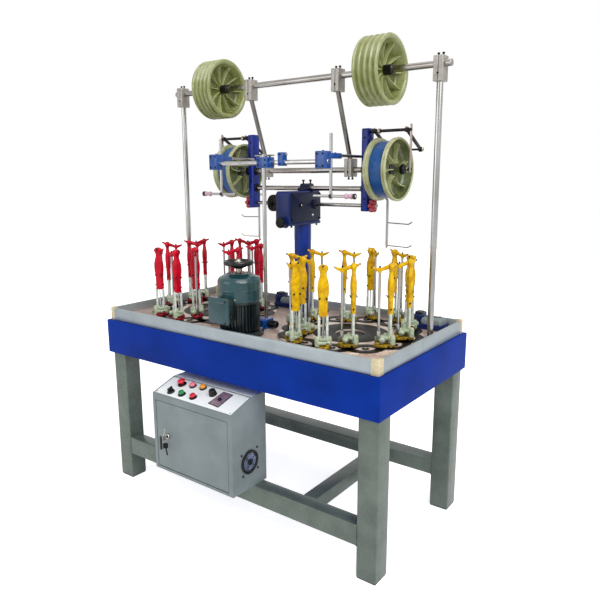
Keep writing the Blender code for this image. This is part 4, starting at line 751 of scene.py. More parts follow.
class BRAIDER_OT_heads(bpy.types.Operator):
    """Track plates with horn gears, and the carriers that stand in the track."""

    bl_idname = "braider.heads"
    bl_label = "Braiding heads"

    def execute(self, context):
        sizes = context.scene.braider_head
        parts = self.carrier(sizes)
        rings = ((LEFT_CARRIERS, "red_nylon"), (RIGHT_CARRIERS, "yellow_nylon"))
        for (side, sx), (places, nylon) in zip(SIDES, rings):
            centre = np.array([sx * HEAD_X, 0.0, 0.0])
            self.track(side, centre, sizes)
            angle, share, heading = np.array(places, float).T
            spots = centre + around(share * TRACK_RADIUS, angle, TRACK_TOP)
            for part, finish, shapes in parts:
                copies = [moved(shape, spot, spun(h + 90)) for spot, h in zip(spots, heading)
                          for shape in shapes]
                make(f"{side}_{part}", finish.replace("nylon_of_head", nylon), copies,
                     replaces=[f"{side}_head"] if part == "bottles" else ())
        return {'FINISHED'}

    def track(self, side, centre, sizes):
        """A round plate with two crossing tracks r = ring +- swing s(t), where s is sin(n t / 2) drawn
        towards half circles, a screwed island in each loop, and a black ring round the sunk middle."""
        count, ring, swing = sizes.horn_gears, sizes.gear_ring, sizes.track_swing
        low, high, hole, half = DECK_TOP + 0.0003, TRACK_TOP - 0.0012, 0.060, 0.0175
        disc = [(TRACK_RADIUS, low), (TRACK_RADIUS, high - 0.001), (TRACK_RADIUS - 0.001, high),
                (hole + 0.001, high), (hole, high - 0.001), (hole, low)]
        make(f"{side}_track_plate", "scraped_iron", [turned(disc, centre, sides=160, ring=True)])
        t = np.linspace(0, 2 * np.pi, 480, endpoint=False)
        wave = np.sin(count * t / 2)
        wave = np.sign(wave) * np.abs(wave) ** 0.7
        band = np.array([(half, 0), (half, 0.0008), (half - 0.0007, 0.0012), (0.0007 - half, 0.0012),
                         (-half, 0.0008), (-half, 0)])
        tracks, bolts = [], []
        for way in (1, -1):
            radius = ring + way * swing * wave
            path = np.stack([radius * np.cos(t), radius * np.sin(t), np.full_like(t, high - 0.0002)], -1)
            path = sum(np.roll(path, k, 0) for k in range(-2, 3)) / 5
            tangent = np.roll(path, -1, 0) - np.roll(path, 1, 0)
            tangent /= np.linalg.norm(tangent, axis=1, keepdims=True)
            sideways = np.cross(tangent, UP)
            points = path[:, None] + band[None, :, :1] * sideways[:, None] + band[None, :, 1:] * np.array(UP)
            tracks.append(shell(points + centre, ring=True))
        lip = softened([(0.0602, low), (0.0602, high + 0.0008), (0.148, high + 0.0008), (0.148, high - 0.002),
                        (0.070, high - 0.002), (0.070, low)], 0.001, 2, True)
        sunk = [(0, low + 0.0012), (0.0598, low + 0.0012), (0.0598, low), (0, low)]
        tracks += [turned(lip, centre, sides=96, ring=True), turned(sunk, centre, sides=64)]
        for spot in centre + around(ring, 360 / count * (np.arange(count) + 0.5), high):
            tracks.append(turned(button(0.013, 0.0145, 0.002, 0.0008), spot, sides=28))
            bolts.append(screw(spot + [0, 0, 0.002], UP, 0.0048, 0.004))
        make(f"{side}_tracks", "oiled_iron", tracks)
        make(f"{side}_gear_bolts", "zinc_plate", bolts)

    def carrier(self, sizes):
        """The parts of one carrier round its bottle's axis, with its arm towards -Y, as (name, finish,
        shapes)."""
        base, tall = sizes.bottle_bottom, sizes.bottle_height
        neck, foot_y, spindle_y = base + tall * 0.93, -0.018, -0.040
        foot = plate(stadium(0.078, 0.047), 0.0045, 0.0150, edge=0.002)
        shoe = plate(stadium(0.074, 0.040), -0.0010, 0.0045, edge=0.001)
        foot, shoe = (moved(shape, (0, foot_y, 0), spun(90)) for shape in (foot, shoe))
        lugs = [block((x * 0.016, foot_y + y * 0.026, 0.018), (0.012, 0.014, 0.012), 0.003, 2)
                for x, y in CORNERS]
        screws = [screw((x * 0.0125, y * 0.0105, base + tall * 0.35), (0, y, 0), 0.0036, 0.003)
                  for x, y in CORNERS]
        screws += [bar((x * 0.0135, 0, base + tall * 0.11), (x * 0.0195, 0, base + tall * 0.11), 0.0034, 10)
                   for x in (-1, 1)]
        screws += [screw((x * 0.016, foot_y + y * 0.026, 0.024), UP, 0.0038, 0.003) for x, y in CORNERS]
        screws += [bar((x * 0.018, -0.006, 0.008), (x * 0.0265, -0.006, 0.008), 0.0046, 10) for x in (-1, 1)]
        screws += [bar((0, 0.019, neck + 0.0075), (0, 0.024, neck + 0.0095), 0.0036, 10),
                   bar((0, -0.064, neck - 0.0045), (0, -0.070, neck - 0.001), 0.0026, 8),
                   bar((0, spindle_y, neck - 0.004), (0, spindle_y, neck + 0.003), 0.0034, 10)]
        rods = [bar((x * 0.0142, 0, 0.030), (x * 0.0142, 0, base + 0.004), 0.0050, 14, 0.0005)
                for x in (-1, 1)]
        spindle = [bar((0, spindle_y, 0.014), (0, spindle_y, neck - 0.016), 0.0048, 14, 0.0005),
                   turned(button(0.0062, 0.0075, 0.060, 0.056, 0.030), (0, spindle_y, 0), sides=14),
                   bar((0, 0.004, 0.036), (0, 0.004, base + 0.002), 0.0024, 8, 0.0005)]
        return [("bottles", "nylon_of_head", [self.bottle(sizes), *self.arm(neck, spindle_y)]),
                ("feet", "oily_nylon_of_head", [foot, *lugs]), ("glass_rods", "glass_rod", rods),
                ("levers", "pale_nylon", self.levers()), ("spindles", "ground_post", spindle),
                ("carrier_screws", "black_oxide", [*screws, shoe])]

    def bottle(self, sizes):
        """The moulded bottle: flattened ovals |x/a|^2.5 + |y/b|^2.5 = 1 whose half width a follows the knots
        (share of the height, half width) and whose depth b grows rounder at the neck."""
        base, tall, sides = sizes.bottle_bottom, sizes.bottle_height, 20
        knots = smooth_knots([(0.000, 0.0150), (0.03, 0.0163), (0.15, 0.0160), (0.29, 0.0165), (0.40, 0.0188),
                              (0.52, 0.0204), (0.64, 0.0192), (0.74, 0.0146), (0.81, 0.0118), (0.86, 0.0132),
                              (0.92, 0.0180), (0.965, 0.0160), (0.995, 0.0080)], 44)
        height = np.concatenate([[base], base + tall * knots[:, 0], [base + tall]])
        half = np.concatenate([[0.0], knots[:, 1], [0.0]])
        t = np.linspace(0, 2 * np.pi, sides, endpoint=False)
        oval = np.stack([np.cos(t), np.sin(t)], -1)
        oval = np.sign(oval) * np.abs(oval) ** 0.8 * [1, sizes.bottle_depth]
        rounder = np.clip((height - base - tall * 0.82) / (tall * 0.1), 0, 1)
        depth = 1 + rounder * (0.64 / sizes.bottle_depth - 1)
        rows = half[:, None, None] * oval[None] * np.stack([np.ones_like(depth), depth], -1)[:, None]
        return shell(np.concatenate([rows, np.repeat(height[:, None, None], sides, axis=1)], -1))

    def arm(self, neck, spindle_y):
        """The bent arm at the neck towards -Y, the horn behind it, and the ear over the spindle."""
        bend = [(0, y, neck + z)
                for y, z in ((0.006, -0.001), (-0.010, -0.002), (-0.022, -0.006), (-0.034, -0.010),
                             (-0.044, -0.011), (-0.056, -0.008), (-0.066, -0.003))]
        thick = np.interp(np.linspace(0, 1, 22), [0, 0.3, 0.5, 0.62, 0.8, 1],
                          [1.5, 1.2, 1.05, 1.35, 0.95, 0.6])
        arm = carried(smooth_knots(bend, 22), circle(0.0056, 10), (1, 0, 0), thick[:, None] * [1.1, 0.9])
        rear = [(0, y, neck + z) for y, z in ((0, 0.001), (0.009, 0.003), (0.016, 0.006), (0.020, 0.008))]
        horn = carried(smooth_knots(rear, 10), circle(0.0046, 8), (1, 0, 0),
                       np.linspace(1.4, 0.8, 10)[:, None] * [1, 1])
        return [arm, horn, bar((0, spindle_y, neck - 0.022), (0, spindle_y, neck - 0.004), 0.0070, 14, 0.001)]

    def levers(self):
        """A toothed wheel r = r0 +- 1.4 mm over the foot, with three lever blocks and two posts."""
        def teeth(t):
            return 0.0014 * np.sign(np.sin(18 * t))

        levers = [turned(button(0.022, 0.0245, 0.043, 0.041, 0.035), (0, -0.010, 0), sides=72, ripple=teeth,
                         share=[0, 1, 1, 1, 0])]
        for centre_z, size, edge, at, degrees in (
                (0.026, (0.052, 0.022, 0.016), 0.007, (0, 0.002, 0), 18),
                (0.032, (0.034, 0.022, 0.018), 0.008, (0.012, -0.026, 0), -28),
                (0.029, (0.028, 0.026, 0.018), 0.008, (-0.014, -0.036, 0), 35)):
            levers.append(moved(block((0, 0, centre_z), size, edge), at, spun(degrees)))
        levers.append(turned(button(0.007, 0.0095, 0.050, 0.046, 0.016), (0.020, 0.008, 0), sides=14))
        levers.append(turned(button(0.0065, 0.0085, 0.047, 0.043, 0.016), (-0.021, -0.012, 0), sides=14))
        return levers


class BRAIDER_OT_motor(bpy.types.Operator):
    """Finned motor body, fan cover, terminal box and handwheel."""

    bl_idname = "braider.motor"
    bl_label = "Motor"

    def execute(self, context):
        sizes = context.scene.braider_motor
        low, high = box_of("motor_body")
        at = np.array([*(low + high)[:2] / 2, 0.0])
        bolts = self.casting(at, low[2], high[2], sizes)
        screws = self.cover(at)
        self.terminal_box(at)
        self.handwheel(at)
        make("motor_bolts", "zinc_plate", bolts + screws)
        return {'FINISHED'}

    def casting(self, at, base, top, sizes):
        """The finned body r = R + depth (comb(t) - 1) on its bolted flange; returns the bolts."""
        def fins(t):
            return sizes.fin_depth * (np.clip(0.5 + 1.6 * np.cos(sizes.fins * t), 0, 1) - 1)

        body = turned([(0, top), (0.079, top), (0.080, top - 0.002), (0.080, top - 0.010),
                       (0.078, top - 0.012), (0.080, top - 0.014), (0.080, base + 0.028),
                       (0.070, base + 0.018)], at, sides=288, ripple=fins, share=[0, 0, 0, 0, 0.3, 1, 1, 0])
        flange = turned([(0.05, base + 0.020), (0.086, base + 0.018), (0.088, base + 0.014),
                         (0.093, base + 0.014), (0.095, base + 0.012), (0.095, base), (0.05, base)], at,
                        sides=64, ring=True)
        make("motor_casting", "teal_enamel", [body, flange], replaces=["motor_body"])
        return [shape for spot in at + around(0.082, [45, 135, 225, 315], base + 0.0165)
                for shape in hex_bolt(spot, UP, 0.0055, 0.005)]

    def cover(self, at):
        """The pressed fan cover with a conical shoulder and rings of slots, black plates laid on it as
        painted shade; returns its screws.
        """
        low, high = (corner[2] for corner in box_of("fan_cover"))
        hole = 0.0135
        shoulder = softened([(hole, high - 0.010), (hole, high), (0.048, high), (0.077, high - 0.015),
                             (0.0845, high - 0.027), (0.0845, low + 0.046), (0.0852, low + 0.044),
                             (0.0852, low + 0.040), (0.0845, low + 0.038), (0.0845, low + 0.004),
                             (0.0850, low)], 0.005, 3)
        make("motor_fan_cover", "teal_sheet_enamel",
             [turned(np.concatenate([shoulder, [(hole, low)]]), at, sides=64, ring=True)],
             replaces=["fan_cover"])
        # Painted shade: the slots are black plates on the cover, not openings
        slot = plate(stadium(0.011, 0.005), high - 0.0006, high + 0.0004, edge=0.0002)
        slots = [moved(slot, at + around(radius, a), spun(a + 90))
                 for radius, count in ((0.024, 9), (0.034, 12), (0.044, 16))
                 for a in np.linspace(0, 360, count, endpoint=False)]
        make("fan_slot_shade", "black_seal_and_slot_shade", slots)
        return [screw(at + around(0.0846, a, low + 0.012), around(1, a), 0.0042, 0.003)
                for a in (-60, 30, 120, 210)]

    def terminal_box(self, at):
        """A bevelled box on a saddle, its lid screwed down, with a blanked gland at each side."""
        low, high = box_of("terminal_box")
        front, middle, upright = low[1], (low + high) / 2, ((1, 0, 0), (0, 0, 1), (0, 1, 0))
        saddle = slab([low[0] + 0.012, front + 0.030, low[2] + 0.010],
                      [high[0] - 0.012, at[1] - 0.062, high[2] - 0.012], 0.006)
        box = slab([low[0] + 0.003, front + 0.016, low[2] + 0.003],
                   [high[0] - 0.003, front + 0.048, high[2] - 0.003], 0.006)
        make("terminal_box_body", "teal_enamel", [saddle, box], replaces=["terminal_box"])
        half = (high - low)[[0, 2]] / 2
        rows = ((0.0, 0.021), (0.0, 0.014), (0.003, 0.0125), (0.007, 0.006), (0.013, 0.0006), (0.016, 0.0))
        lid = moved(pressed(half, 0.010, rows), (middle[0], front, middle[2]), upright)
        make("terminal_box_lid", "teal_sheet_enamel", [lid])
        reach = half - 0.0085
        screws = [screw((middle[0] + x * reach[0], front + 0.0045, middle[2] + z * reach[1]), FRONT,
                        0.0035, 0.003) for x, z in CORNERS]
        for sx in (-1, 1):
            gland = (middle[0] + sx * (half[0] - 0.004), front + 0.032, middle[2] - 0.018)
            screws.append(turned(button(0.008, 0.010, 0.009, 0.006), gland, (sx, 0, 0), 6))
        make("terminal_box_fittings", "black_phenolic", screws)

    def handwheel(self, at):
        """A dished black handwheel on the shaft's end, held by a plated hub."""
        z = HANDWHEEL_Z
        rim = softened([(0.040, z - 0.001), (0.047, z + 0.009), (0.055, z + 0.009), (0.0590, z + 0.004),
                        (0.0588, z - 0.004), (0.052, z - 0.010), (0.043, z - 0.009)], 0.004, 3, True)
        dish = softened([(0.0, z + 0.002), (0.016, z + 0.002), (0.028, z - 0.004), (0.043, z - 0.002),
                         (0.043, z - 0.008), (0.030, z - 0.016), (0.018, z - 0.021), (0.012, z - 0.024),
                         (0.0, z - 0.024)], 0.003, 2)
        make("handwheel_rim", "black_phenolic",
             [turned(rim, at, sides=56, ring=True), turned(dish, at, sides=56)],
             body="motor_rotor", replaces=["motor_handwheel"])
        hub = softened([(0, z + 0.013), (0.008, z + 0.013), (0.009, z + 0.006), (0.015, z + 0.005),
                        (0.016, z + 0.001), (0, z + 0.001)], 0.001, 2)
        shaft = bar(at + [0, 0, box_of("motor_handwheel")[0][2]], at + [0, 0, z - 0.012], 0.007, 20)
        collar = turned(button(0.0085, 0.0092, z - 0.022, z - 0.024, z - 0.036), at, sides=28)
        make("handwheel_hub", "zinc_plate", [turned(hub, at, sides=32), shaft, collar], body="motor_rotor")


class BRAIDER_OT_column(bpy.types.Operator):
    """Column, gearbox with its covers and cap, side plates, and the shafts that they carry."""

    bl_idname = "braider.column"
    bl_label = "Column, gearbox and shafts"

    def execute(self, context):
        self.column()
        self.gearbox()
        self.side_plates()
        self.shafts()
        return {'FINISHED'}

    def column(self):
        """A turned column whose foot flange is filleted in and bolted down."""
        low, high = box_of("column")
        at = np.array([0, (low[1] + high[1]) / 2, 0])
        base = low[2]
        foot = softened([(0.0, high[2]), (0.0365, high[2]), (0.037, high[2] - 0.002), (0.037, base + 0.013),
                         (0.061, base + 0.012), (0.062, base + 0.011), (0.062, base), (0.0, base)], 0.004, 3)
        make("column_tube", "column_enamel", [turned(foot, at, sides=64)], replaces=["column"])
        bolts = [shape for spot in at + around(0.050, [30, 90, 150, 210, 270, 330], base + 0.012)
                 for shape in hex_bolt(spot, UP, 0.005, 0.005)]
        make("column_bolts", "black_oxide", bolts)

    def gearbox(self):
        """A cast case with a cover screwed to each side, a bearing cap, bosses, plug and sight glass."""
        low, high = np.array([-0.039, 0.040, 1.178]), np.array([0.039, 0.262, 1.321])
        boss_at, face_x = (0, 0.016, 1.192), high[0] + 0.0035
        plug_at, glass_at = (face_x, 0.108, 1.262), (face_x, 0.196, 1.218)
        boss = softened([(0, 0.0), (0.017, 0.0), (0.022, 0.004), (0.022, 0.034), (0.026, 0.040), (0, 0.040)],
                        0.003, 3)
        case = [slab(low + [0.002, 0, 0.008], high - [0.002, 0, 0], 0.008, 4),
                slab(low, [high[0], high[1], low[2] + 0.012], 0.003), turned(boss, boss_at, (0, 1, 0), 40)]
        make("gearbox_case", "casting_enamel", case, replaces=["gearbox"])
        covers, bolts = [], []
        outline = rounded((low[1] + 0.006, low[2] + 0.016), (high[1] - 0.006, high[2] - 0.006), 0.012)
        collar = softened([(0.0083, 0.012), (0.018, 0.012), (0.0195, 0.010), (0.0195, 0.004), (0.026, 0.003),
                           (0.026, 0)], 0.0015, 2)
        collar = np.concatenate([collar, [(0.0083, 0)]])
        for sx in (-1, 1):
            out = (sx, 0, 0)
            covers.append(plate(outline * [sx, 1], -0.002, 0.0035, (sx * high[0], 0, 0), out, 0.0015))
            bolts += [screw((sx * (high[0] + 0.003), y, z), out, 0.0045, 0.004)
                      for y in (low[1] + 0.014, high[1] - 0.014) for z in (low[2] + 0.024, high[2] - 0.014)]
            covers.append(turned(collar, (sx * high[0], SHAFT_Y, DRIVE_Z), out, 36, ring=True))
        cap = slab([-0.019, 0.166, high[2] - 0.002], [0.019, 0.258, high[2] + 0.014], 0.005)
        crown = slab([-0.015, 0.174, high[2]], [0.015, 0.250, high[2] + 0.031], 0.010, 5)
        # The covers and cap are darker than the case: painted shade on the gearbox's sides
        make("gearbox_covers", "navy_shade_enamel", [*covers, cap, crown])
        for y in (0.186, 0.238):
            bolts.append(bar((0, y, high[2] + 0.028), (0, y, high[2] + 0.043), 0.0036, 14))
            bolts.append(turned(button(0.0055, 0.0062, 0.006, 0.005), (0, y, high[2] + 0.041), sides=16))
        bolts += [bar((x, y, low[2] - 0.008), (x, y, low[2] + 0.002), 0.0045, 6)
                  for x in (-0.030, 0.030) for y in (0.060, 0.242)]
        ring_end = softened([(0, -0.001), (0.016, -0.001), (0.0215, 0.001), (0.0225, 0.006), (0.0225, 0.014),
                             (0, 0.014)], 0.002, 2)
        bolts.append(turned(ring_end, boss_at, (0, 1, 0), 36))
        bolts.append(turned(button(0.006, 0.0085, 0.006, 0.004), plug_at, (1, 0, 0), 20))
        make("gearbox_screws", "black_oxide", bolts)
        make("gearbox_sight_glass", "nickel_plate",
             [turned(button(0.004, 0.006, 0.003, 0.001), glass_at, (1, 0, 0), 24),
              turned(button(0.003, 0.004, 0.0075, 0.006), plug_at, (1, 0, 0), 16)])

    def side_plates(self):
        """Upright bars with rounded ends, with set screws in front and a collar round each shaft."""
        bars_made, screws = [], []
        collar = [(0.0125, 0.006), (0.018, 0.006), (0.019, 0.005), (0.019, 0), (0.0125, 0)]
        for side, sx in SIDES:
            low, high = box_of(f"side_plate_{side}")
            width = high[1] - low[1]
            outline = rounded((-width / 2, low[2]), (width / 2, high[2]), 0.007, 5)
            bars_made.append(plate(outline, low[0], high[0], (0, low[1] + width / 2, 0), (1, 0, 0), 0.002))
            screws += [screw((sx * SIDE_BAR_X, low[1] - 0.0002, z), FRONT, 0.0038, 0.0022)
                       for z in (1.290, 1.363, 1.430, 1.532)]
            screws += [turned(collar, (sx * SIDE_BAR_INNER, SHAFT_Y, z), (-sx, 0, 0), 30, ring=True)
                       for z in (AXLE_Z, TIE_Z)]
        make("side_bars", "side_enamel", bars_made, replaces=["side_plate_left", "side_plate_right"])
        make("side_bar_screws", "black_oxide", screws)

    def shafts(self):
        """Ground bars, the holed disc on the drive shaft, and the lobed knobs."""
        for name, half, z, radius, body, node in (
                ("axle", 0.486, AXLE_Z, 0.012, "machine", "wheel_axle"),
                ("tie", 0.2877, TIE_Z, 0.0105, "machine", "tie_bar"),
                ("drive", 0.348, DRIVE_Z, 0.008, "drive", "drive_shaft")):
            make(name, "ground_shaft", [bar((-half, SHAFT_Y, z), (half, SHAFT_Y, z), radius)], body=body,
                 replaces=[node])
        self.holed_disc(np.array([DISC_X, SHAFT_Y, DRIVE_Z]))

        def lobes(t):
            return 0.0042 * np.cos(6 * t) - 0.0012 * np.cos(12 * t)

        profile = softened([(0.0083, 0), (0.0247, 0.0), (0.0250, 0.016), (0.018, 0.021), (0.0125, 0.021),
                            (0.011, 0.0235), (0.0083, 0.0235)], 0.002, 3)
        share = np.interp(profile[:, 0], [0.012, 0.018, 0.023], [0, 0.5, 1])
        knobs = [turned(profile, (sx * 0.3232, SHAFT_Y, DRIVE_Z), (sx, 0, 0), 96, ring=True, ripple=lobes,
                        share=share) for _, sx in SIDES]
        make("lobed_knobs", "red_phenolic", knobs, body="drive", replaces=["knob_left", "knob_right"])

    def holed_disc(self, at):
        """A hub and a rim joined by webs that are narrow halfway, so that round holes stay between them."""
        hub = softened([(0.008, 0.012), (0.018, 0.012), (0.018, 0.005), (0.0245, 0.005), (0.0245, -0.005),
                        (0.018, -0.005), (0.018, -0.010), (0.008, -0.010)], 0.001, 1, True)
        rim = softened([(0.0345, 0.006), (0.038, 0.006), (0.038, -0.006), (0.0345, -0.006)], 0.001, 2, True)
        disc = [turned(hub, at, (1, 0, 0), 48, ring=True), turned(rim, at, (1, 0, 0), 72, ring=True)]
        radii = np.array([0.0235, 0.0265, 0.0295, 0.0325, 0.0355])
        waist = np.stack([[0.85, 0.42, 0.3, 0.42, 0.85], np.ones(5)], -1)
        section = np.array([(-0.0042, -0.0045), (0.0042, -0.0045), (0.0042, 0.0045), (-0.0042, 0.0045)])
        for a in np.linspace(0, 2 * np.pi, 14, endpoint=False):
            radial = np.array([0, math.cos(a), math.sin(a)])
            disc.append(carried(at + radii[:, None] * radial, section, (1, 0, 0), waist))
        make("holed_disc", "black_oxide", disc, body="drive")


class BRAIDER_OT_wheels(bpy.types.Operator):
    """Take-up wheels with their press arms, and the guide pulleys on the top bar."""

    bl_idname = "braider.wheels"
    bl_label = "Wheels and pulleys"

    def execute(self, context):
        sizes = context.scene.braider_wheel
        for side, sx in SIDES:
            self.take_up_wheel(side, sx, sizes)
            self.press_arm(side, sx)
            self.pulley(side, sx, sizes)
        return {'FINISHED'}

    def take_up_wheel(self, side, sx, sizes):
        """A spool-shaped wheel: flanges with rounded lips, a dished web with curved ribs, a rubber tread."""
        half, along, body = WHEEL_HALF, (sx, 0, 0), f"wheel_{side}"
        at = np.array([sx * (WHEEL_X + half), SHAFT_Y, AXLE_Z])
        web = softened(mirrored([(0.0128, 0.014), (0.021, 0.014), (0.024, 0.010), (0.060, 0.008),
                                 (0.096, 0.010), (0.104, 0.018), (0.1115, half - 0.010),
                                 (0.1133, half - 0.0020), (0.1142, half - 0.006),
                                 (0.1082, half - 0.0205)]), 0.002, 3)
        lip = softened([(0.1135, half - 0.0030), (0.1150, half), (0.1205, half), (0.1238, half - 0.004),
                        (0.1232, half - 0.009), (0.1198, half - 0.0115), (0.1224, half - 0.0145),
                        (0.1215, half - 0.0185), (0.1150, half - 0.0205), (0.1085, half - 0.0215),
                        (0.1089, half - 0.0198)], 0.0008, 2, True)
        lips = [turned(profile, at, along, 96, ring=True) for profile in (lip, (lip * [1, -1])[::-1])]
        make(f"wheel_{side}_rims", "green_nylon", lips, body=body, replaces=[f"take_up_wheel_{side}"])
        # Painted shade: the web is a darker copy of the rims' nylon
        make(f"wheel_{side}_web", "shaded_recess_nylon", [turned(web, at, along, 72, ring=True)], body=body)
        crown = smooth_knots([(0.1080, 0.0283), (0.1086, 0.0285), (0.1102, 0.018), (0.1108, 0.0),
                              (0.1102, -0.018), (0.1086, -0.0285), (0.1080, -0.0283)], 25)
        make(f"wheel_{side}_tread", "blue_rubber", [turned(crown, at, along, 96, ring=True)], body=body)
        radii = np.linspace(0.024, 0.1035, 12)
        share = (radii - radii[0]) / (radii[-1] - radii[0])
        ribs = web_ribs(at, along, sizes.wheel_ribs, radii, 0.35 * share ** 1.5,
                        0.018 + 0.014 * (2 * share - 1) ** 2, sizes.rib_width, 0.38)
        # Painted highlight: the ribs are a paler copy of the web's nylon
        make(f"wheel_{side}_ribs", "lit_rib_nylon", ribs, body=body)
        hub = softened(mirrored([(0.0127, 0.020), (0.020, 0.020), (0.0225, 0.016)]), 0.002, 3)
        make(f"wheel_{side}_hub", "black_phenolic", [turned(hub, at, along, 40, ring=True)], body=body)
        collar = softened(mirrored([(0.0123, 0.007), (0.0185, 0.007), (0.0195, 0.0055)]), 0.001, 2)
        outer_x, inner_x = sx * 0.463, sx * 0.333
        collars = [turned(collar, (x, SHAFT_Y, AXLE_Z), along, 36, ring=True) for x in (outer_x, inner_x)]
        collars.append(screw((outer_x, SHAFT_Y, AXLE_Z + 0.0195), UP, 0.003, 0.002))
        make(f"axle_{side}_collars", "black_oxide", collars)

    def press_arm(self, side, sx):
        """Two flat arms on a pivot rod with a cream roller between them, and the strap that stands on the
        axle's end."""
        pivot, end = np.array([0.205, 1.556]), np.array([0.3272, 1.4862])
        reach = np.linalg.norm(end - pivot)
        c, s = (end - pivot) / reach
        body, along = f"arm_{side}", (sx, 0, 0)
        flat = stadium(reach + 0.016, 0.0125) + [reach / 2, 0]
        outline = flat @ np.array([[c, s], [-s, c]]) + pivot
        arms = [plate(outline, sx * x - 0.004, sx * x + 0.004, (0, 0, 0), (1, 0, 0), 0.001) for x in ARM_XS]
        arms += [bar((sx * (x - 0.0065), *spot), (sx * (x + 0.0065), *spot), 0.0098, 28, 0.0015)
                 for x in ARM_XS for spot in (pivot, end)]
        rods = [bar((sx * 0.2923, *pivot), (sx * 0.5, *pivot), 0.006, 24),
                bar((sx * 0.336, *end), (sx * 0.492, *end), 0.0042, 16)]
        make(f"arm_{side}_bars", "blackened_steel", arms + rods, body=body, replaces=[f"press_arm_{side}"])
        nut = mirrored([(0, 0.004), (0.0070, 0.004), (0.0080, 0.003)])
        collar = mirrored([(0.0062, 0.005), (0.0095, 0.005), (0.0105, 0.003)])
        nuts = [turned(nut, (sx * 0.4885, *end), along, 6)]
        nuts += [screw((sx * x, pivot[0] - 0.006, pivot[1] + 0.0085), (0, -0.5, 0.85), 0.0042, 0.003)
                 for x in ARM_XS]
        nuts.append(turned(collar, (sx * 0.360, *pivot), along, 24, ring=True))
        make(f"arm_{side}_nuts", "zinc_plate", nuts, body=body)
        roller = softened([(0.0045, -0.0235), (0.0098, -0.0235), (0.0110, -0.021), (0.0110, 0.021),
                           (0.0098, 0.0235), (0.0045, 0.0235)], 0.001, 2)
        make(f"arm_{side}_roller", "cream_roller",
             [turned(roller, (sx * (WHEEL_X + WHEEL_HALF), *end), (1, 0, 0), 40, ring=True)], body=body)
        low, high, thick, strap_x = AXLE_Z - 0.012, 1.578, 0.0022, sx * 0.4965
        strap = stadium(high - low, 0.0120)[:, ::-1] + [SHAFT_Y - 0.004, (low + high) / 2]
        make(f"spring_{side}", "lacquered_steel",
             [plate(strap, strap_x - thick, strap_x + thick, (0, 0, 0), (1, 0, 0), 0.0005)])
        washer = mirrored([(0, 0.004), (0.008, 0.004), (0.0088, 0.003)])
        make(f"spring_{side}_stud", "black_oxide",
             [bar((sx * 0.484, SHAFT_Y, AXLE_Z), (sx * 0.499, SHAFT_Y, AXLE_Z), 0.005, 16),
              turned(washer, (sx * 0.489, SHAFT_Y, AXLE_Z), (1, 0, 0), 24)])

    def pulley(self, side, sx, sizes):
        """Rounded ridges r = top - depth (1 - wave^0.75), 23.25 mm apart, over a dished web with straight
        ribs."""
        half, top, pitch, depth = PULLEY_HALF, 0.1257, 0.02325, 0.012
        at = np.array([sx * (PULLEY_X + half), TOP_Y, TOP_Z])
        along, body = (sx, 0, 0), f"pulley_{side}"
        h = np.linspace(half, -half, 121)
        wave = 0.5 + 0.5 * np.cos(2 * np.pi * h / pitch)
        ridge = np.stack([top - depth * (1 - wave ** 0.75), h], -1)
        face = np.array([(0.0985, 0.015), (0.1000, 0.018), (0.1050, half - 0.010), (0.1085, half - 0.002),
                         (0.1130, half)])
        rim = np.concatenate([face, ridge, (face * [1, -1])[::-1]])
        web = softened(mirrored([(0.0130, 0.020), (0.0190, 0.020), (0.0200, 0.008), (0.060, 0.0065),
                                 (0.0930, 0.009), (0.0998, 0.017)]), 0.003, 3)
        make(f"pulley_{side}_rim", "ridge_nylon", [turned(rim, at, along, 96, ring=True)], body=body,
             replaces=[f"guide_pulley_{side}"], crease=60)
        # Painted shade: the web is a darker copy of the rim's nylon
        make(f"pulley_{side}_web", "shaded_web_nylon", [turned(web, at, along, 72, ring=True)], body=body)
        radii = np.linspace(0.019, 0.1045, 10)
        rise = 0.010 + 0.024 * ((radii - radii[0]) / (radii[-1] - radii[0])) ** 2
        ribs = web_ribs(at, along, sizes.pulley_ribs, radii, 0 * radii, rise, 0.0032, 0.35)
        # Painted highlight: the ribs are a paler copy of the web's nylon
        make(f"pulley_{side}_ribs", "lit_rib_nylon", ribs, body=body)
        bush = softened(mirrored([(0.0128, half * 1.03), (0.0170, half * 1.03), (0.0190, half * 0.96)]),
                        0.001, 2)
        make(f"pulley_{side}_bush", "black_phenolic", [turned(bush, at, along, 36, ring=True)], body=body)


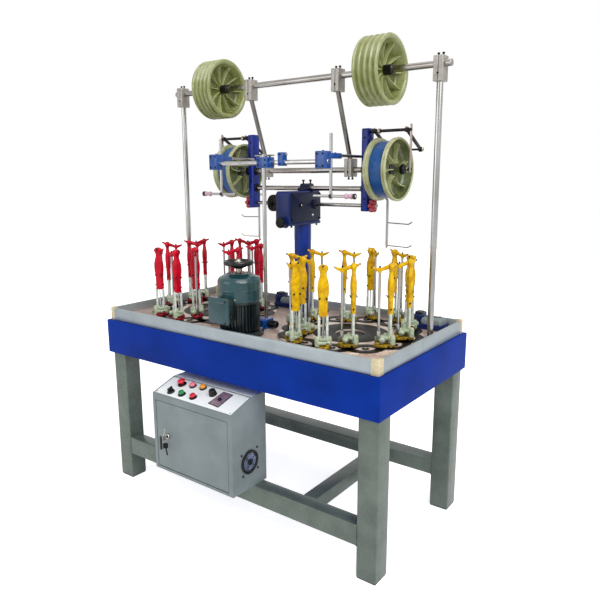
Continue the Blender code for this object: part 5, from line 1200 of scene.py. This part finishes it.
class BRAIDER_OT_top_bar(bpy.types.Operator):
    """Top bar with its posts, struts and split clamps."""

    bl_idname = "braider.top_bar"
    bl_label = "Top bar and posts"

    def execute(self, context):
        make("bar_over_pulleys", "ground_shaft",
             [bar((-0.692, TOP_Y, TOP_Z), (0.692, TOP_Y, TOP_Z), 0.0122)], replaces=["top_bar"])
        high, foot_tall = TOP_Z + 0.026, 0.074
        low, foot_high = high - 0.086, AXLE_Z + 0.62 * foot_tall
        foot = softened([(0.0116, 0.016), (0.017, 0.016), (0.019, 0.013), (0.019, 0), (0.0116, 0)],
                        0.002, 2, True)
        cast, screws, posts, struts = [], [], [], []
        for _, sx in SIDES:
            post, strut = sx * POST_X, sx * STRUT_X
            posts += [bar((post, TOP_Y, DECK_TOP + 0.0003), (post, TOP_Y, low + 0.010), 0.0115),
                      turned(foot, (post, TOP_Y, DECK_TOP), sides=36, ring=True)]
            struts.append(tube([(strut, TOP_Y, low + 0.006), (strut, SHAFT_Y, AXLE_Z + 0.030)], 0.0095, 24,
                               (1, 0, 0)))
            for x, y, bottom, top, way in ((post, TOP_Y, low, high, 1), (strut, TOP_Y, low, high, 1),
                                           (strut, SHAFT_Y, foot_high - foot_tall, foot_high, -1)):
                cast += self.clamp(x, y, bottom, top)
                screws += self.clamp_screws(x, y, bottom, top, way)
        make("clamps", "blasted_aluminium", cast)
        make("upright_posts", "ground_post", posts, replaces=["post_left", "post_right"])
        make("leaning_struts", "strut_steel", struts, replaces=["strut_left", "strut_right"])
        make("clamp_screws", "black_oxide", screws)
        return {'FINISHED'}

    half_width, half_depth = 0.018, 0.024

    def clamp(self, x, y, low, high):
        """A clamp in two halves with a slit between them, over a smaller core."""
        wide, deep, slit, inset = self.half_width, self.half_depth, 0.0008, 0.004
        return [slab([x - wide, y - deep, low], [x - slit, y + deep, high], 0.0025),
                slab([x + slit, y - deep, low], [x + wide, y + deep, high], 0.0025),
                slab([x - wide + inset, y - deep + inset, low + inset],
                     [x + wide - inset, y + deep - inset, high - 0.006], 0.001, 1)]

    def clamp_screws(self, x, y, low, high, way):
        """Two set screws in the clamp's upper or lower end (way 1 or -1), and one in its front."""
        screws = []
        for side in (-1, 1):
            at = np.array([x + side * 0.009, y, high if way > 0 else low])
            screws += [bar(at, at + [0, 0, way * 0.008], 0.0032, 12),
                       screw(at + [0, 0, way * 0.006], (0, 0, way), 0.0048, 0.005)]
        middle = (low + high) / 2 - 0.016
        return [*screws, screw((x, y - self.half_depth + 0.0005, middle), FRONT, 0.0038, 0.0015)]


class BRAIDER_OT_guides(bpy.types.Operator):
    """Front guide frame, deck brackets and hook rods."""

    bl_idname = "braider.guides"
    bl_label = "Guides, brackets and hooks"

    def execute(self, context):
        self.front_frame()
        self.brackets()
        self.hooks()
        return {'FINISHED'}

    def front_frame(self):
        """The front rod on its centre rod, with blue clamp blocks and a wire guide at each end."""
        y, z, centre_x, second_x = GUIDE_Y, GUIDE_Z, 0.004, 0.084
        make("guide_bar", "chromed_rod", [bar((-0.302, y, z), (0.302, y, z), 0.009)], replaces=["front_rod"])
        post_y, base = y - 0.019, DECK_TOP + 0.0003
        blocks = [block((centre_x, (y + post_y) / 2, z), (0.056, 0.048, 0.042), 0.003),
                  block((second_x, y - 0.002, z + 0.012), (0.026, 0.030, 0.052), 0.003),
                  slab([-0.022, post_y - 0.047, base], [0.030, post_y + 0.019, DECK_TOP + 0.036], 0.004),
                  slab([-0.032, post_y - 0.052, base], [0.040, post_y + 0.024, DECK_TOP + 0.009], 0.002)]
        screws = [screw((centre_x + x * 0.018, post_y - 0.014, z + dz * 0.010), FRONT, 0.0036, 0.003)
                  for x, dz in CORNERS]
        screws += [screw((centre_x + x, y - 0.004, z + 0.021), UP, 0.0040, 0.004) for x in (-0.014, 0.018)]
        screws += [screw((second_x, y - 0.0165, z + dz), FRONT, 0.0034, 0.003) for dz in (-0.006, 0.030)]
        screws += [screw((x, post_y + dy, DECK_TOP + 0.009), UP, 0.0045, 0.004)
                   for x in (-0.027, 0.035) for dy in (-0.044, 0.016)]
        rods = [bar((centre_x, post_y, DECK_TOP + 0.030), (centre_x, post_y, z + 0.032), 0.008)]
        stays = [bar((0.060, y - 0.004, z + 0.030), (0.112, y - 0.004, z + 0.030), 0.0030, 12),
                 bar((-0.060, y + 0.002, z + 0.028), (0.040, y + 0.002, z + 0.028), 0.0035, 12)]
        ends = [self.ribbed_knob((0.030, -0.102, DECK_TOP + 0.020)),
                block((centre_x, post_y - 0.056, DECK_TOP + 0.013), (0.022, 0.018, 0.024), 0.003)]
        bush = softened([(0.0057, -0.016), (0.0090, -0.016), (0.0110, -0.012), (0.0080, -0.004),
                         (0.0080, 0.004), (0.0110, 0.012), (0.0090, 0.016), (0.0057, 0.016)], 0.002, 2)
        end_ring = [(0.0056, -0.004), (0.0100, -0.004), (0.0108, -0.003), (0.0108, 0.003), (0.0100, 0.004),
                    (0.0056, 0.004)]
        rod_ring = [(0.0056, -0.005), (0.0090, -0.005), (0.0090, 0.005), (0.0056, 0.005)]
        bushes = []
        for _, sx in SIDES:
            x, block_x = sx * GUIDE_X, sx * BLOCK_X
            blocks += [block((block_x, y, z + 0.006), (0.046, 0.042, 0.064), 0.003),
                       block((x, y + 0.0545, z + 0.0215), (0.028, 0.079, 0.021), 0.003)]
            rods += [bar((x, LOW_ROD_Y, 1.296), (x, LOW_ROD_Y, 1.540), 0.006, 20),
                     bar((sx * 0.205, LOW_ROD_Y, LOW_ROD_Z), (sx * 0.398, LOW_ROD_Y, LOW_ROD_Z), 0.0055, 20)]
            stays.append(bar((x, 0.040, 1.459), (x, 0.1887, 1.459), 0.006, 20))
            bushes.append(turned(bush, (sx * 0.366, LOW_ROD_Y, LOW_ROD_Z), (1, 0, 0), 32, ring=True))
            ends += [turned(profile, (ring_x, LOW_ROD_Y, LOW_ROD_Z), (1, 0, 0), 28, ring=True)
                     for profile, ring_x in ((end_ring, sx * 0.391), (rod_ring, x))]
            screws += [screw((block_x + dx, y - 0.0205, z + dz), FRONT, 0.0036, 0.003)
                       for dx in (-0.014, 0.014) for dz in (-0.016, 0.028)]
            screws += [screw((block_x, y, z + 0.0375), UP, 0.0040, 0.004),
                       screw((x, 0.004, z + 0.0315), UP, 0.0036, 0.003)]
        make("guide_blocks", "block_enamel", blocks,
             replaces=["wire_guide_left", "wire_guide_right", "centre_rod"])
        make("guide_rods", "ground_post", rods)
        make("guide_stays", "ground_shaft", stays)
        make("guide_bushes", "rose_bush", bushes)
        make("guide_ends", "black_phenolic", ends)
        make("guide_screws", "black_oxide", screws)

    def ribbed_knob(self, start):
        """A ribbed clamping knob along +X: r = r0 + ripple on its grip."""
        profile = softened([(0, 0), (0.009, 0), (0.009, 0.008), (0.0140, 0.010), (0.0140, 0.044),
                            (0.011, 0.048), (0, 0.048)], 0.0015, 2)

        def ribs(t):
            return 0.0009 * np.cos(18 * t)

        share = (profile[:, 0] > 0.0125).astype(float)
        return turned(profile, start, (1, 0, 0), 108, ripple=ribs, share=share)

    def brackets(self):
        """Blue bases under pressed grey covers, with a dark strip and a black latch on each."""
        nodes = [f"deck_bracket_{side}" for side, _ in SIDES]
        bases, covers, latches = [], [], []
        for node in nodes:
            low, high = box_of(node)
            x, y, z, latch_x = high[0] - 0.048, (low[1] + high[1]) / 2, low[2], low[0] + 0.014
            half = np.array([0.045, y - low[1] - 0.008])
            bases += [slab(low, [high[0], high[1], z + 0.022], 0.003),
                      slab([low[0] + 0.002, low[1] + 0.006, z],
                           [low[0] + 0.024, high[1] - 0.004, z + 0.058], 0.004)]
            rows = ((0.0, 0.000), (0.0, 0.014), (0.003, 0.021), (0.008, 0.0245), (0.014, 0.0250))
            covers.append(moved(pressed(half, 0.010, rows), (x, y, z + 0.021)))
            latches += [moved(block((0, 0, 0), (0.062, 0.006, 0.004), 0.001), (x, y, z + 0.0475), spun(35)),
                        block((latch_x, y - 0.008, z + 0.0615), (0.030, 0.036, 0.012), 0.004),
                        bar((latch_x - 0.001, low[1] + 0.006, z + 0.040),
                            (latch_x - 0.001, low[1] - 0.0015, z + 0.040), 0.007, 20)]
            latches += [screw((x + dx, low[1] + 0.004, z + 0.022), UP, 0.0035, 0.003)
                        for dx in (-0.036, 0.036)]
        make("bracket_bases", "casting_enamel", bases, replaces=nodes)
        make("bracket_covers", "powder_coat", covers)
        make("bracket_latches", "black_phenolic", latches)

    def hooks(self):
        """Bent rods on the side bars with thin wires whose tips turn up."""
        rods, wires = [], []
        back, rod_y = SHAFT_Y + 0.0233, 0.300
        for _, sx in SIDES:
            x, plate_x = sx * 0.352, sx * SIDE_BAR_X
            rods.append(tube([(plate_x, back, 1.300), (plate_x, back + 0.034, 1.300), (x, rod_y, 1.292),
                              (x, rod_y, 1.084)], 0.005, 14, (0.3, 1, 0.1), 0.016))
            wires += [tube([(x, rod_y, z), (x + sx * 0.100, rod_y, z - 0.003),
                            (x + sx * 0.114, rod_y, z + 0.007)], 0.0022, 8, (0, 1, 0), 0.006)
                      for z in (1.094, 1.190)]
        make("hook_rods", "ground_post", rods, replaces=["hook_rod_left", "hook_rod_right"])
        make("hook_wires", "strut_steel", wires)


PANEL_NORMAL = np.array([0, -PANEL_RISE, PANEL_RUN]) / math.hypot(PANEL_RUN, PANEL_RISE)


def panel_point(x, slope, rise=0.0):
    """A point over the sloping panel: x, distance up the slope and height along its normal."""
    _, along, normal = axes(PANEL_NORMAL)
    return np.array([x, CABINET_FRONT, PANEL_FOOT_Z]) + along * slope + normal * rise


def on_panel(shape, x=0.0, slope=0.0):
    """A shape laid on the panel at a place: its X across, its Y up the slope, its Z along the normal."""
    return moved(shape, panel_point(x, slope), axes(PANEL_NORMAL).T)


class BRAIDER_OT_cabinet(bpy.types.Operator):
    """Cabinet body, door with lock and keys, fan with its guard, and the controls."""

    bl_idname = "braider.cabinet"
    bl_label = "Control cabinet"

    def execute(self, context):
        coats = frame["nodes"]["cabinet_body"].data.materials
        coats.clear()
        coats.append(FINISHES["powder_coat"][0])
        self.door()
        self.fan(context.scene.braider_cabinet)
        self.controls()
        self.display()
        return {'FINISHED'}

    def door(self):
        """The door on its seal, inset in the solid body, with its lock, two keys and a latch."""
        low, high = box_of("cabinet_door")
        front, gap, wide = CABINET_FRONT, 0.0006, 0.009
        inner_low, inner_high = low[0] + wide + 0.0002, high[0] - wide - 0.0002
        seal = [slab([x0, front + 0.0146, z0], [x1, front + 0.0176, z1], 0.001)
                for x0, x1, z0, z1 in ((low[0] - gap, low[0] + wide, low[2], high[2]),
                                       (high[0] - wide, high[0] + gap, low[2], high[2]),
                                       (inner_low, inner_high, low[2] - gap, low[2] + wide),
                                       (inner_low, inner_high, high[2] - wide, high[2] + gap))]
        leaf = slab([low[0] + 0.0015, front + 0.0004, low[2] + 0.0015],
                    [high[0] - 0.0015, front + 0.014, high[2] - 0.0015], 0.0025)
        make("door_seal", "black_seal_and_slot_shade", seal)
        make("door_leaf", "powder_coat", [leaf], body="door", replaces=["cabinet_door"])
        at = np.array([-0.203, front, 0.360])
        lock = softened([(0, 0.003), (0.0070, 0.003), (0.0075, 0.0065), (0.0105, 0.0065), (0.0112, 0.004),
                         (0.0112, 0.0), (0, 0.0)], 0.0006, 2)
        t = np.linspace(0, 2 * np.pi, 24)
        loop = at + np.stack([0.003 * np.sin(t), -0.022 + 0.006 * np.sin(t), -0.014 + 0.011 * np.cos(t)], -1)
        keys = [turned(lock, at, FRONT, 36), block(at + [0, -0.012, 0], (0.0018, 0.020, 0.006), 0.0005, 1),
                plate(rounded((-0.008, -0.010), (0.008, 0.008), 0.005), -0.001, 0.001, at + [0, -0.022, 0.0],
                      (1, 0, 0), 0.0004),
                bar(at + [-0.004, -0.022, 0.004], at + [0.006, -0.020, 0.040], 0.0016, 10),
                tube(loop, 0.0007, 6, (1, 0, 0))]
        make("lock_and_keys", "nickel_plate", keys, body="door")
        spare = [plate(rounded((-0.010, -0.012), (0.010, 0.010), 0.006), -0.0013, 0.0013,
                       at + [0.005, -0.020, -0.031], (0.7, -0.7, 0.2), 0.0004),
                 bar(at + [0.006, -0.020, -0.042], at + [0.012, -0.019, -0.072], 0.0026, 10)]
        make("spare_key", "black_oxide", spare, body="door")
        latch = [slab([-0.254, front - 0.004, 0.290], [-0.244, front + 0.001, 0.347], 0.002),
                 turned([(0, 0.0014), (0.0068, 0.0014), (0.0068, 0), (0, 0)], at + [0, -0.003, 0], FRONT, 24)]
        make("door_latch", "black_phenolic", latch, body="door")

    def fan(self, sizes):
        """A black ring with a wire guard of rings and spokes over its blades, held by four screws."""
        at, x = np.array([0.147, -0.366, 0.315]), (1, 0, 0)
        u, v, w = axes(x)
        ring = softened([(0.035, 0.0005), (0.035, 0.006), (0.039, 0.0082), (0.047, 0.006), (0.047, 0.0005)],
                        0.002, 2)
        parts = [turned(ring, at, x, 56, ring=True), turned(button(0.011, 0.0125, 0.0055, 0.0045), at, x, 32)]
        parts += [screw(at + [0.0003, ay, az], x, 0.0042, 0.0035)
                  for ay, az in ((-0.045, 0.041), (0.043, 0.045), (0.047, -0.042), (-0.039, -0.046))]
        blades = [turned([(0, 0.0016), (0.038, 0.0016), (0.038, 0.0004), (0, 0.0004)], at, x, 48)]
        r = np.linspace(0.011, 0.036, 6)
        sweep = 0.010 * ((r - 0.011) / 0.025) ** 1.4
        section = np.array([(-0.007, -0.0012), (0.007, 0.0004), (0.007, 0.0012), (-0.007, -0.0004)])
        for a in np.linspace(0, 2 * np.pi, 7, endpoint=False):
            radial, cross = math.cos(a) * u + math.sin(a) * v, -math.sin(a) * u + math.cos(a) * v
            blades.append(carried(at + r[:, None] * radial + sweep[:, None] * cross + 0.0026 * w, section, w))
        make("fan_blades", "blade_lacquer", blades)
        make("fan_body", "black_phenolic", parts, replaces=["cabinet_fan"])
        t = np.linspace(0, 2 * np.pi, 49)
        circle_line = np.cos(t)[:, None] * u + np.sin(t)[:, None] * v
        wires = []
        for k in range(sizes.guard_rings):
            rise = 0.0062 if k == sizes.guard_rings - 1 else 0.0072
            wires.append(tube(at + (0.012 + k * 0.0088) * circle_line + rise * w, 0.0008, 6, x))
        for a in np.radians([45, 135, 225, 315]):
            radial = math.cos(a) * u + math.sin(a) * v
            wires.append(tube([at + r * radial + 0.0066 * w for r in (0.010, 0.040)], 0.0009, 6, x))
        make("fan_guard", "black_oxide", wires)

    def controls(self):
        """Bezels, buttons, knobs and lamps, turned about the panel's normal."""
        normal = PANEL_NORMAL
        bezel = softened([(0.0066, 0.0), (0.0066, 0.0045), (0.0135, 0.0045), (0.0160, 0.003), (0.0162, 0.0)],
                         0.001, 2)
        make("control_bezels", "black_phenolic",
             [turned(bezel * [1.15 if name == "stop" else 1, 1], panel_point(*place), normal, 40, ring=True)
              for name, place in CONTROLS.items()])
        push = softened([(0, 0.017), (0.009, 0.017), (0.0115, 0.0155), (0.012, 0.0082), (0, 0.0082)],
                        0.0015, 3)
        mushroom = softened([(0, 0.025), (0.009, 0.0245), (0.0155, 0.021), (0.0165, 0.016), (0.012, 0.013),
                             (0.010, 0.0086), (0, 0.0086)], 0.003, 3)
        stem = [(0, 0.009), (0.0058, 0.009), (0.0058, -0.011), (0, -0.011)]
        for name, finish, cap, sides in (("start", "green_cap", push, 40), ("halt", "red_cap", push, 40),
                                         ("stop", "red_cap", mushroom, 48)):
            at = panel_point(*CONTROLS[name])
            make(f"{name}_cap", finish, [turned(cap, at, normal, sides), turned(stem, at, normal, 20)],
                 body=name, replaces=[f"{name}_button"])
        at = panel_point(*CONTROLS["selector"])
        grip = on_panel(block((0, 0, 0.014), (0.007, 0.026, 0.016), 0.003), *CONTROLS["selector"])
        disc = turned(button(0.0125, 0.0132, 0.008, 0.007, 0.005), at, normal, 36)
        make("selector_grip", "black_phenolic", [grip, disc, turned(stem, at, normal, 20)], body="selector",
             replaces=["selector_switch"])

        def flutes(t):
            return 0.0007 * np.cos(16 * t)

        at = panel_point(*CONTROLS["speed"])
        knob = softened([(0, 0.024), (0.011, 0.024), (0.0125, 0.0225), (0.0145, 0.009), (0.0155, 0.006),
                         (0, 0.006)], 0.001, 2)
        share = np.clip((knob[:, 0] - 0.010) / 0.003, 0, 1)
        make("speed_grip", "black_phenolic", [turned(knob, at, normal, 96, ripple=flutes, share=share),
                                              turned(stem, at, normal, 20)], body="speed",
             replaces=["speed_knob"])
        lens = softened([(0, 0.0175), (0.007, 0.0170), (0.0112, 0.0140), (0.0120, 0.010), (0.0120, 0.001),
                         (0, 0.001)], 0.002, 3)
        rim = softened([(0.0123, 0.0004), (0.0123, 0.0070), (0.0145, 0.0065), (0.0155, 0.0004)], 0.001, 2)
        rims = []
        for name, finish, place in (("fault_lamp", "rose_lens", (-0.1417, 0.0936)),
                                    ("power_lamp", "amber_lens", (-0.0882, 0.0981))):
            make(name, finish, [turned(lens, panel_point(*place), normal, 40)])
            rims.append(turned(rim, panel_point(*place), normal, 40, ring=True))
        make("lamp_rims", "black_phenolic", rims)

    def display(self):
        """A framed acrylic window with a small dial on it, the panel's screws and pale face, and the strip
        behind it, pale as painted light where the bed shades the cabinet's top."""
        window = softened([(0.0039, 0.0311), (0.0599, 0.0257), (0.0647, 0.1037), (0.0143, 0.1060)],
                          0.003, 3, True)
        middle = window.mean(0)
        border = (window - middle) * 1.08 + middle
        make("display_frame", "black_phenolic", [on_panel(plate(border, 0.0003, 0.0022, edge=0.0005))])
        make("display_window", "display_acrylic", [on_panel(plate(window, 0.001, 0.0030, edge=0.0005))])
        dial = turned(button(0.0065, 0.0075, 0.010, 0.008, 0.003), panel_point(0.038, 0.060), PANEL_NORMAL,
                      32)
        make("display_dial", "black_phenolic", [dial])
        screws = [screw(panel_point(x, slope, 0.0004), PANEL_NORMAL, 0.0032, 0.002)
                  for x in (-0.271, 0.132) for slope in (0.013, 0.112)]
        make("panel_screws", "nickel_plate", screws)
        # Painted light: a pale strip on the cabinet's top, which lies in the bed's shade
        make("panel_top_painted_light", "panel_coat_and_painted_light", [slab([-0.2845, -0.3425, 0.5670], [0.1455, -0.280, 0.5690], 0.0006)])
        face = rounded((-0.278, 0.007), (0.139, 0.1175), 0.004, 3)
        make("panel_face", "panel_coat_and_painted_light", [on_panel(plate(face, -0.0006, 0.0006, edge=0.0003))])


class BRAIDER_OT_stage(bpy.types.Operator):
    """Pale floor, soft studio light and the camera at the photograph's angle."""

    bl_idname = "braider.stage"
    bl_label = "Stage and camera"

    def execute(self, context):
        scene, sizes = context.scene, context.scene.braider_stage
        scene.view_settings.view_transform = 'Standard'
        self.camera(scene, sizes)
        self.lamps(scene, sizes)
        self.floor(scene, sizes)
        self.sky(scene, sizes)
        return {'FINISHED'}

    def camera(self, scene, sizes):
        """A camera whose back points along its yaw and pitch, rolled a little."""
        yaw, pitch, roll = (math.radians(a) for a in (36.741, 11.535, -0.235))
        back = Vector((math.sin(yaw) * math.cos(pitch), -math.cos(yaw) * math.cos(pitch), math.sin(pitch)))
        camera = bpy.data.objects.new("camera", bpy.data.cameras.new("camera"))
        scene.collection.objects.link(camera)
        camera.data.lens = sizes.lens
        camera.data.sensor_width = 36.0
        camera.data.clip_end = 100.0
        camera.location = (1.587, -1.968 + BENCH[1], 1.382)
        camera.rotation_mode = 'QUATERNION'
        camera.rotation_quaternion = (-back).to_track_quat('-Z', 'Y') @ Quaternion((0, 0, 1), roll)
        scene.camera = camera

    def lamps(self, scene, sizes):
        """Three large lamps that face the machine, and a soft sun from the front right."""
        for name, power, place, size in (("key", sizes.key, (3.4, -1.6, 3.2), 2.6),
                                         ("fill", sizes.fill, (-1.4, -3.0, 1.9), 2.0),
                                         ("top", sizes.fill, (0.2, 0.4, 4.2), 2.4)):
            lamp = bpy.data.objects.new(name, bpy.data.lights.new(name, 'AREA'))
            lamp.data.energy = power
            lamp.data.size = size
            lamp.location = place
            lamp.rotation_euler = (Vector((0, 0, 0.9)) - Vector(place)).to_track_quat('-Z', 'Y').to_euler()
            scene.collection.objects.link(lamp)
        sun = bpy.data.objects.new("sun", bpy.data.lights.new("sun", 'SUN'))
        sun.data.energy = sizes.sun
        sun.data.angle = math.radians(50)
        sun.rotation_euler = (-Vector((0.72, -0.42, 1.0))).to_track_quat('-Z', 'Y').to_euler()
        scene.collection.objects.link(sun)

    def floor(self, scene, sizes):
        """A pale matt floor that glows a little where the camera sees it and keeps the shadow."""
        half, z = 9, -0.0005
        mesh = bpy.data.meshes.new("floor")
        mesh.from_pydata([(-half, -half, z), (half, -half, z), (half, half, z), (-half, half, z)], [],
                         [(0, 1, 2, 3)])
        floor = bpy.data.objects.new("floor", mesh)
        scene.collection.objects.link(floor)
        material = bpy.data.materials.new("matt_floor")
        material.use_nodes = True
        tree = material.node_tree
        paint = tree.nodes["Principled BSDF"].inputs
        paint["Base Color"].default_value = sizes.floor_colour
        paint["Roughness"].default_value = 0.9
        paint["Emission Color"].default_value = (1.0, 1.0, 1.0, 1.0)
        seen = add(tree, "ShaderNodeLightPath").outputs["Is Camera Ray"]
        glow = add(tree, "ShaderNodeMapRange", {"Value": seen, "To Max": sizes.floor_glow})
        tree.links.new(glow.outputs["Result"], paint["Emission Strength"])
        mesh.materials.append(material)

    def sky(self, scene, sizes):
        """White where the camera looks, by itself or through clear pieces, dimmer in reflections, and an even
        light on everything else."""
        world = bpy.data.worlds.new("studio")
        world.use_nodes = True
        tree = world.node_tree
        ground = tree.nodes["Background"].inputs
        path = add(tree, "ShaderNodeLightPath").outputs
        clear = add(tree, "ShaderNodeMath", {0: path["Is Camera Ray"], 1: path["Is Transmission Ray"]},
                    operation='MAXIMUM')
        sheen = add(tree, "ShaderNodeMath", {0: path["Is Glossy Ray"], 1: 0.55}, operation='MULTIPLY')
        seen = add(tree, "ShaderNodeMath", {0: clear.outputs[0], 1: sheen.outputs[0]}, operation='MAXIMUM')
        strength = add(tree, "ShaderNodeMapRange", {"Value": seen.outputs[0], "To Min": sizes.sky,
                                                    "To Max": 1.0})
        tree.links.new(strength.outputs["Result"], ground["Strength"])
        ground["Color"].default_value = (1.0, 1.0, 1.0, 1.0)
        scene.world = world


class BRAIDER_PT_sidebar(bpy.types.Panel):
    """Lists the groups of pieces."""

    bl_idname = "BRAIDER_PT_sidebar"
    bl_label = "Wire braiding machine"
    bl_space_type = 'VIEW_3D'
    bl_region_type = 'UI'
    bl_category = "Braider"

    def draw(self, context):
        for operator in OPERATORS:
            self.layout.operator(operator.bl_idname)


OPERATORS = (BRAIDER_OT_bench, BRAIDER_OT_heads, BRAIDER_OT_motor, BRAIDER_OT_column, BRAIDER_OT_wheels,
             BRAIDER_OT_top_bar, BRAIDER_OT_guides, BRAIDER_OT_cabinet, BRAIDER_OT_stage)
SETTINGS = {"braider_bench": BenchSettings, "braider_head": HeadSettings,
            "braider_motor": MotorSettings, "braider_wheel": WheelSettings,
            "braider_cabinet": CabinetSettings, "braider_stage": StageSettings}


def register():
    """Registers the settings, the operators and the panel."""
    for name, group in SETTINGS.items():
        bpy.utils.register_class(group)
        setattr(bpy.types.Scene, name, PointerProperty(type=group))
    for cls in (*OPERATORS, BRAIDER_PT_sidebar):
        bpy.utils.register_class(cls)


def unregister():
    """Takes them out again."""
    for cls in (*OPERATORS, BRAIDER_PT_sidebar):
        bpy.utils.unregister_class(cls)
    for name, group in SETTINGS.items():
        delattr(bpy.types.Scene, name)
        bpy.utils.unregister_class(group)


def main():
    """Registers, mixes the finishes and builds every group."""
    register()
    mix_finishes()
    for operator in OPERATORS:
        group, name = operator.bl_idname.split(".")
        getattr(getattr(bpy.ops, group), name)()


if __name__ == "__main__":
    main()
